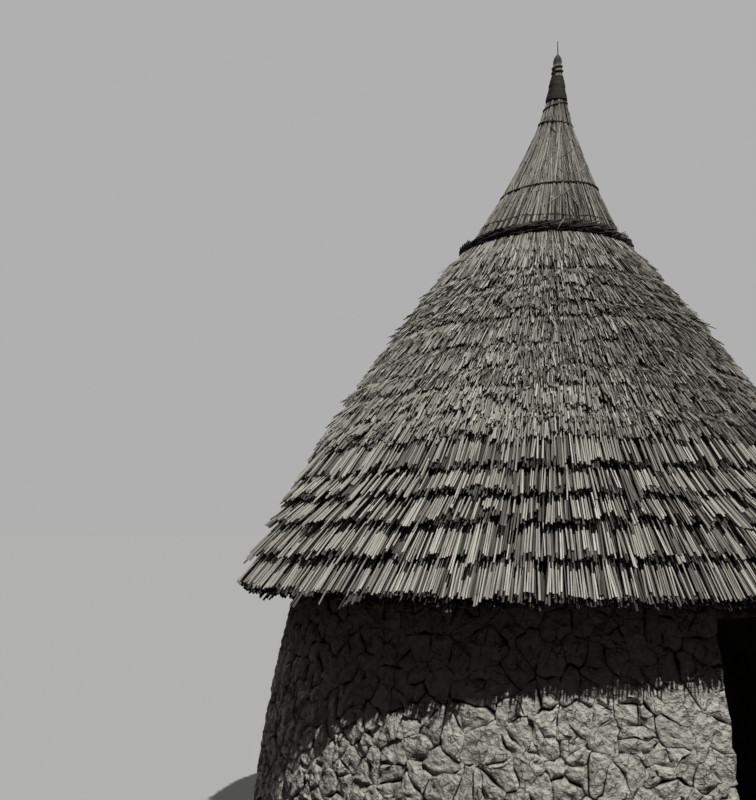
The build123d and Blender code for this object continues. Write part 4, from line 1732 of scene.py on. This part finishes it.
        points = radius[..., None] * heading(place[..., 0] / self.wall.foot_radius - math.pi / 2)
        points[..., 2] = level
        # Painted shade: darkest on the sunk outline, dark on the lip and faint on the first shoulder as the
        # crack opens
        depth = np.zeros(rings.shape)
        depth[0] = DARKEST
        depth[1] = 0.85 * np.clip(2 * opened, 0, 1)
        depth[2] = 0.15 * opened
        return self.pieces(rng, found, self.kept_clear(points), depth)

    def kept_clear(self, points: np.ndarray) -> np.ndarray:
        """Move points that hang into the doorway to its jamb or over its lintel, whichever is nearer.

        Args:
            points: the clods' points, which are changed.

        Returns:
            The same points.
        """
        half = self.door_half(points[..., 2]) + self.door_gap
        head = self.door_head + 0.002
        aside, below = half - np.abs(points[..., 0]), head - points[..., 2]
        within = (aside > 0) & (below > 0) & (points[..., 1] < 0)
        sideways = within & (aside < below)
        points[..., 0] = np.where(sideways, np.sign(points[..., 0]) * half, points[..., 0])
        points[..., 2] = np.where(within & ~sideways, head, points[..., 2])
        return points

    def by_clod(self, values: np.ndarray) -> np.ndarray:
        """Line values up clod by clod, ring after ring, with the last ring drawn together in its mean.

        Args:
            values: rings by clods by directions, and perhaps coordinates.

        Returns:
            Points by coordinates, or points alone.
        """
        clods = np.moveaxis(values, 1, 0)
        body = clods[:, :-1].reshape(len(clods), -1, *values.shape[3:])
        joined = np.concatenate([body, clods[:, -1].mean(axis=1, keepdims=True)], axis=1)
        return joined.reshape(-1, *values.shape[3:])

    def pieces(self, rng: Random, found: np.ndarray, points: np.ndarray, depth: np.ndarray) -> list[Piece]:
        """Share the clods out among the stretches of wall and build their faces.

        Args:
            rng: random draws for the clods' tones.
            found: the clods' middles.
            points: rings by clods by directions by three; the last ring is the clod's middle.
            depth: darkness of each point.

        Returns:
            The pieces, one for each stretch.
        """
        share = (found[:, 0] % self.wall.girth) / self.wall.girth
        stretch = np.minimum((share * self.piece_count).astype(int), self.piece_count - 1)
        tone = np.clip(rng.normal(0.6, 0.13, len(found)), 0, 1)
        rings = len(points) - 1
        size = rings * self.directions + 1
        ring = np.arange(size - 1).reshape(rings, self.directions)
        made = []
        for number in range(self.piece_count):
            mine = np.flatnonzero(stretch == number)
            base = size * np.arange(len(mine))[:, None, None]
            sides, foot, rim = ring_faces(base + ring, closed=False)
            middle = np.broadcast_to(base[:, 0] + size - 1, rim.shape)
            fan = np.stack([rim, np.roll(rim, -1, axis=1), middle], axis=-1).reshape(-1, 3)
            spots = self.by_clod(points[:, mine])
            edged = np.tile(np.arange(size) // self.directions == 1, len(mine))
            marks = np.repeat(tone[mine], size), self.by_clod(depth[:, mine]), np.full(len(spots), UNCOVERED)
            shell = Shell(spots, [sides, fan, foot], *marks, spots, SUN_DRIED_MUD, True, edged)
            made.append(make_piece(f"mud_facing_{number + 1:02d}", [shell]))
        return made


@dataclass
class CarriedNodes:
    """CAD nodes that are shown as they are, each with the finish of what it is made of."""

    dressed: tuple[tuple[str, Finish], ...] = (
        ("wall_", HAND_PLASTER),
        ("door_sill", SMOOTH_SILL),
        ("earth_floor", BEATEN_EARTH),
        ("wall_plate", DRY_POLES),
        ("door_lintel", DRY_POLES),
        ("rafters", DRY_POLES),
        ("finial_stick", DRY_POLES),
        ("roof_hoop", WITHY_STICKS),
        ("crown_ring", WITHY_STICKS),
    )

    def dress(self) -> int:
        """Give each shown node its material.

        Returns:
            How many nodes were dressed.
        """
        count = 0
        for name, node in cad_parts.items():
            for start, finish in self.dressed:
                if name.startswith(start):
                    node.data.materials.clear()
                    node.data.materials.append(finish.material())
                    count += 1
        return count


@dataclass
class Studio:
    """Camera, lights, floor and backdrop."""

    camera_bearing: float = math.radians(-39.5)
    camera_distance: float = 8.0
    eye_height: float = 2.10
    aside: float = math.radians(8.86)
    look_up: float = math.radians(6.74)
    lens: float = 49.5
    sun_aside: float = math.radians(31)
    sun_height: float = math.radians(60.5)
    sun_strength: float = 3.4
    sun_softness: float = math.radians(0.8)
    sky: str = "#FFFFFF"
    sky_strength: float = 0.028
    fill_strength: float = 0.9
    fill_height: float = math.radians(40)
    fill_softness: float = math.radians(60)
    backdrop: str = "#AFB0AF"
    floor: str = "#A6A6A4"
    floor_in_turn: str = "#2E2D2B"
    floor_radius: float = 400.0

    def bearing(self, aside: float) -> Vector:
        """The flat direction from the hut towards the camera, turned to the camera's right."""
        away = self.camera_bearing + aside
        return Vector((math.sin(away), -math.cos(away), 0.0))

    def camera(self) -> None:
        """Set the camera up at the photograph's place and angle."""
        data = bpy.data.cameras.new("camera")
        data.lens = self.lens
        data.sensor_width = 36.0
        data.clip_end = 1000.0
        camera = bpy.data.objects.new("camera", data)
        bpy.context.scene.collection.objects.link(camera)
        camera.location = self.bearing(0.0) * self.camera_distance + Vector((0, 0, self.eye_height))
        look = Vector((0, 0, math.sin(self.look_up))) - self.bearing(self.aside) * math.cos(self.look_up)
        camera.rotation_euler = look.to_track_quat("-Z", "Y").to_euler()
        bpy.context.scene.camera = camera

    def lamp(self, name: str, aside: float, height: float, strength: float, softness: float) -> None:
        """Add a lamp with parallel light.

        Args:
            name: the lamp's name.
            aside: how far round from the camera it stands.
            height: its angle above the ground.
            strength: how bright it is.
            softness: the angle that it fills in the sky.
        """
        data = bpy.data.lights.new(name, "SUN")
        data.energy = strength
        data.angle = softness
        lamp = bpy.data.objects.new(name, data)
        bpy.context.scene.collection.objects.link(lamp)
        source = self.bearing(aside) * math.cos(height) + Vector((0, 0, math.sin(height)))
        lamp.rotation_euler = source.to_track_quat("Z", "Y").to_euler()
        lamp.location = source * 12

    def world(self) -> None:
        """Soft light all round, and a plain backdrop for what the camera sees."""
        world = bpy.data.worlds.new("studio")
        bpy.context.scene.world = world
        world.use_nodes = True
        tree = world.node_tree
        tree.nodes.clear()
        soft = add(tree, "ShaderNodeBackground", {"Color": linear(self.sky), "Strength": self.sky_strength})
        plain = add(tree, "ShaderNodeBackground", {"Color": linear(self.backdrop), "Strength": 1.0})
        seen = add(tree, "ShaderNodeLightPath", {}, "Is Camera Ray")
        both = add(tree, "ShaderNodeMixShader", {0: seen, 1: soft, 2: plain})
        add(tree, "ShaderNodeOutputWorld", {"Surface": both})

    def ground(self) -> None:
        """A plain floor that throws little light back under the eave."""
        material = bpy.data.materials.new("studio_floor_painted_board")
        material.use_nodes = True
        tree = material.node_tree
        tree.nodes.clear()
        pale = add(tree, "ShaderNodeBsdfDiffuse", {"Color": linear(self.floor)})
        dull = add(tree, "ShaderNodeBsdfDiffuse", {"Color": linear(self.floor_in_turn)})
        seen = add(tree, "ShaderNodeLightPath", {}, "Is Camera Ray")
        both = add(tree, "ShaderNodeMixShader", {0: seen, 1: dull, 2: pale})
        add(tree, "ShaderNodeOutputMaterial", {"Surface": both})
        rim = self.floor_radius * heading(even_turns(96))
        mesh = bpy.data.meshes.new("studio_floor")
        mesh.from_pydata(rim.tolist(), [], [list(range(len(rim)))])
        mesh.materials.append(material)
        floor = bpy.data.objects.new("studio_floor", mesh)
        bpy.context.scene.collection.objects.link(floor)

    def build(self) -> None:
        """Set everything up."""
        self.camera()
        self.lamp("key_light", self.sun_aside, self.sun_height, self.sun_strength, self.sun_softness)
        opposite = self.sun_aside + math.pi
        self.lamp("fill_light", opposite, self.fill_height, self.fill_strength, self.fill_softness)
        self.world()
        self.ground()
        bpy.context.scene.view_settings.view_transform = "Standard"


def main() -> None:
    """Build the hut's looks piece by piece."""
    logging.basicConfig(level=logging.INFO, format="%(message)s")
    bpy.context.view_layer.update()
    Studio().build()
    log.info("studio ready")
    log.info("dressed %d nodes", CarriedNodes().dress())
    slope = Slope.from_eave("thatch_course_01", ThatchRoof.eave_thickness)
    line = SpireLine()
    low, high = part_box("cap_thatch")
    pieces = ThatchRoof(slope).build()
    cap = StrawCap(slope, line, ((high.x - low.x) / 2, low.z))
    pieces += [cap.build(), *Cordage(line, cap).build(), *MudFacing().build()]
    log.info("made %d pieces", len(pieces))


if __name__ == "__main__":
    main()
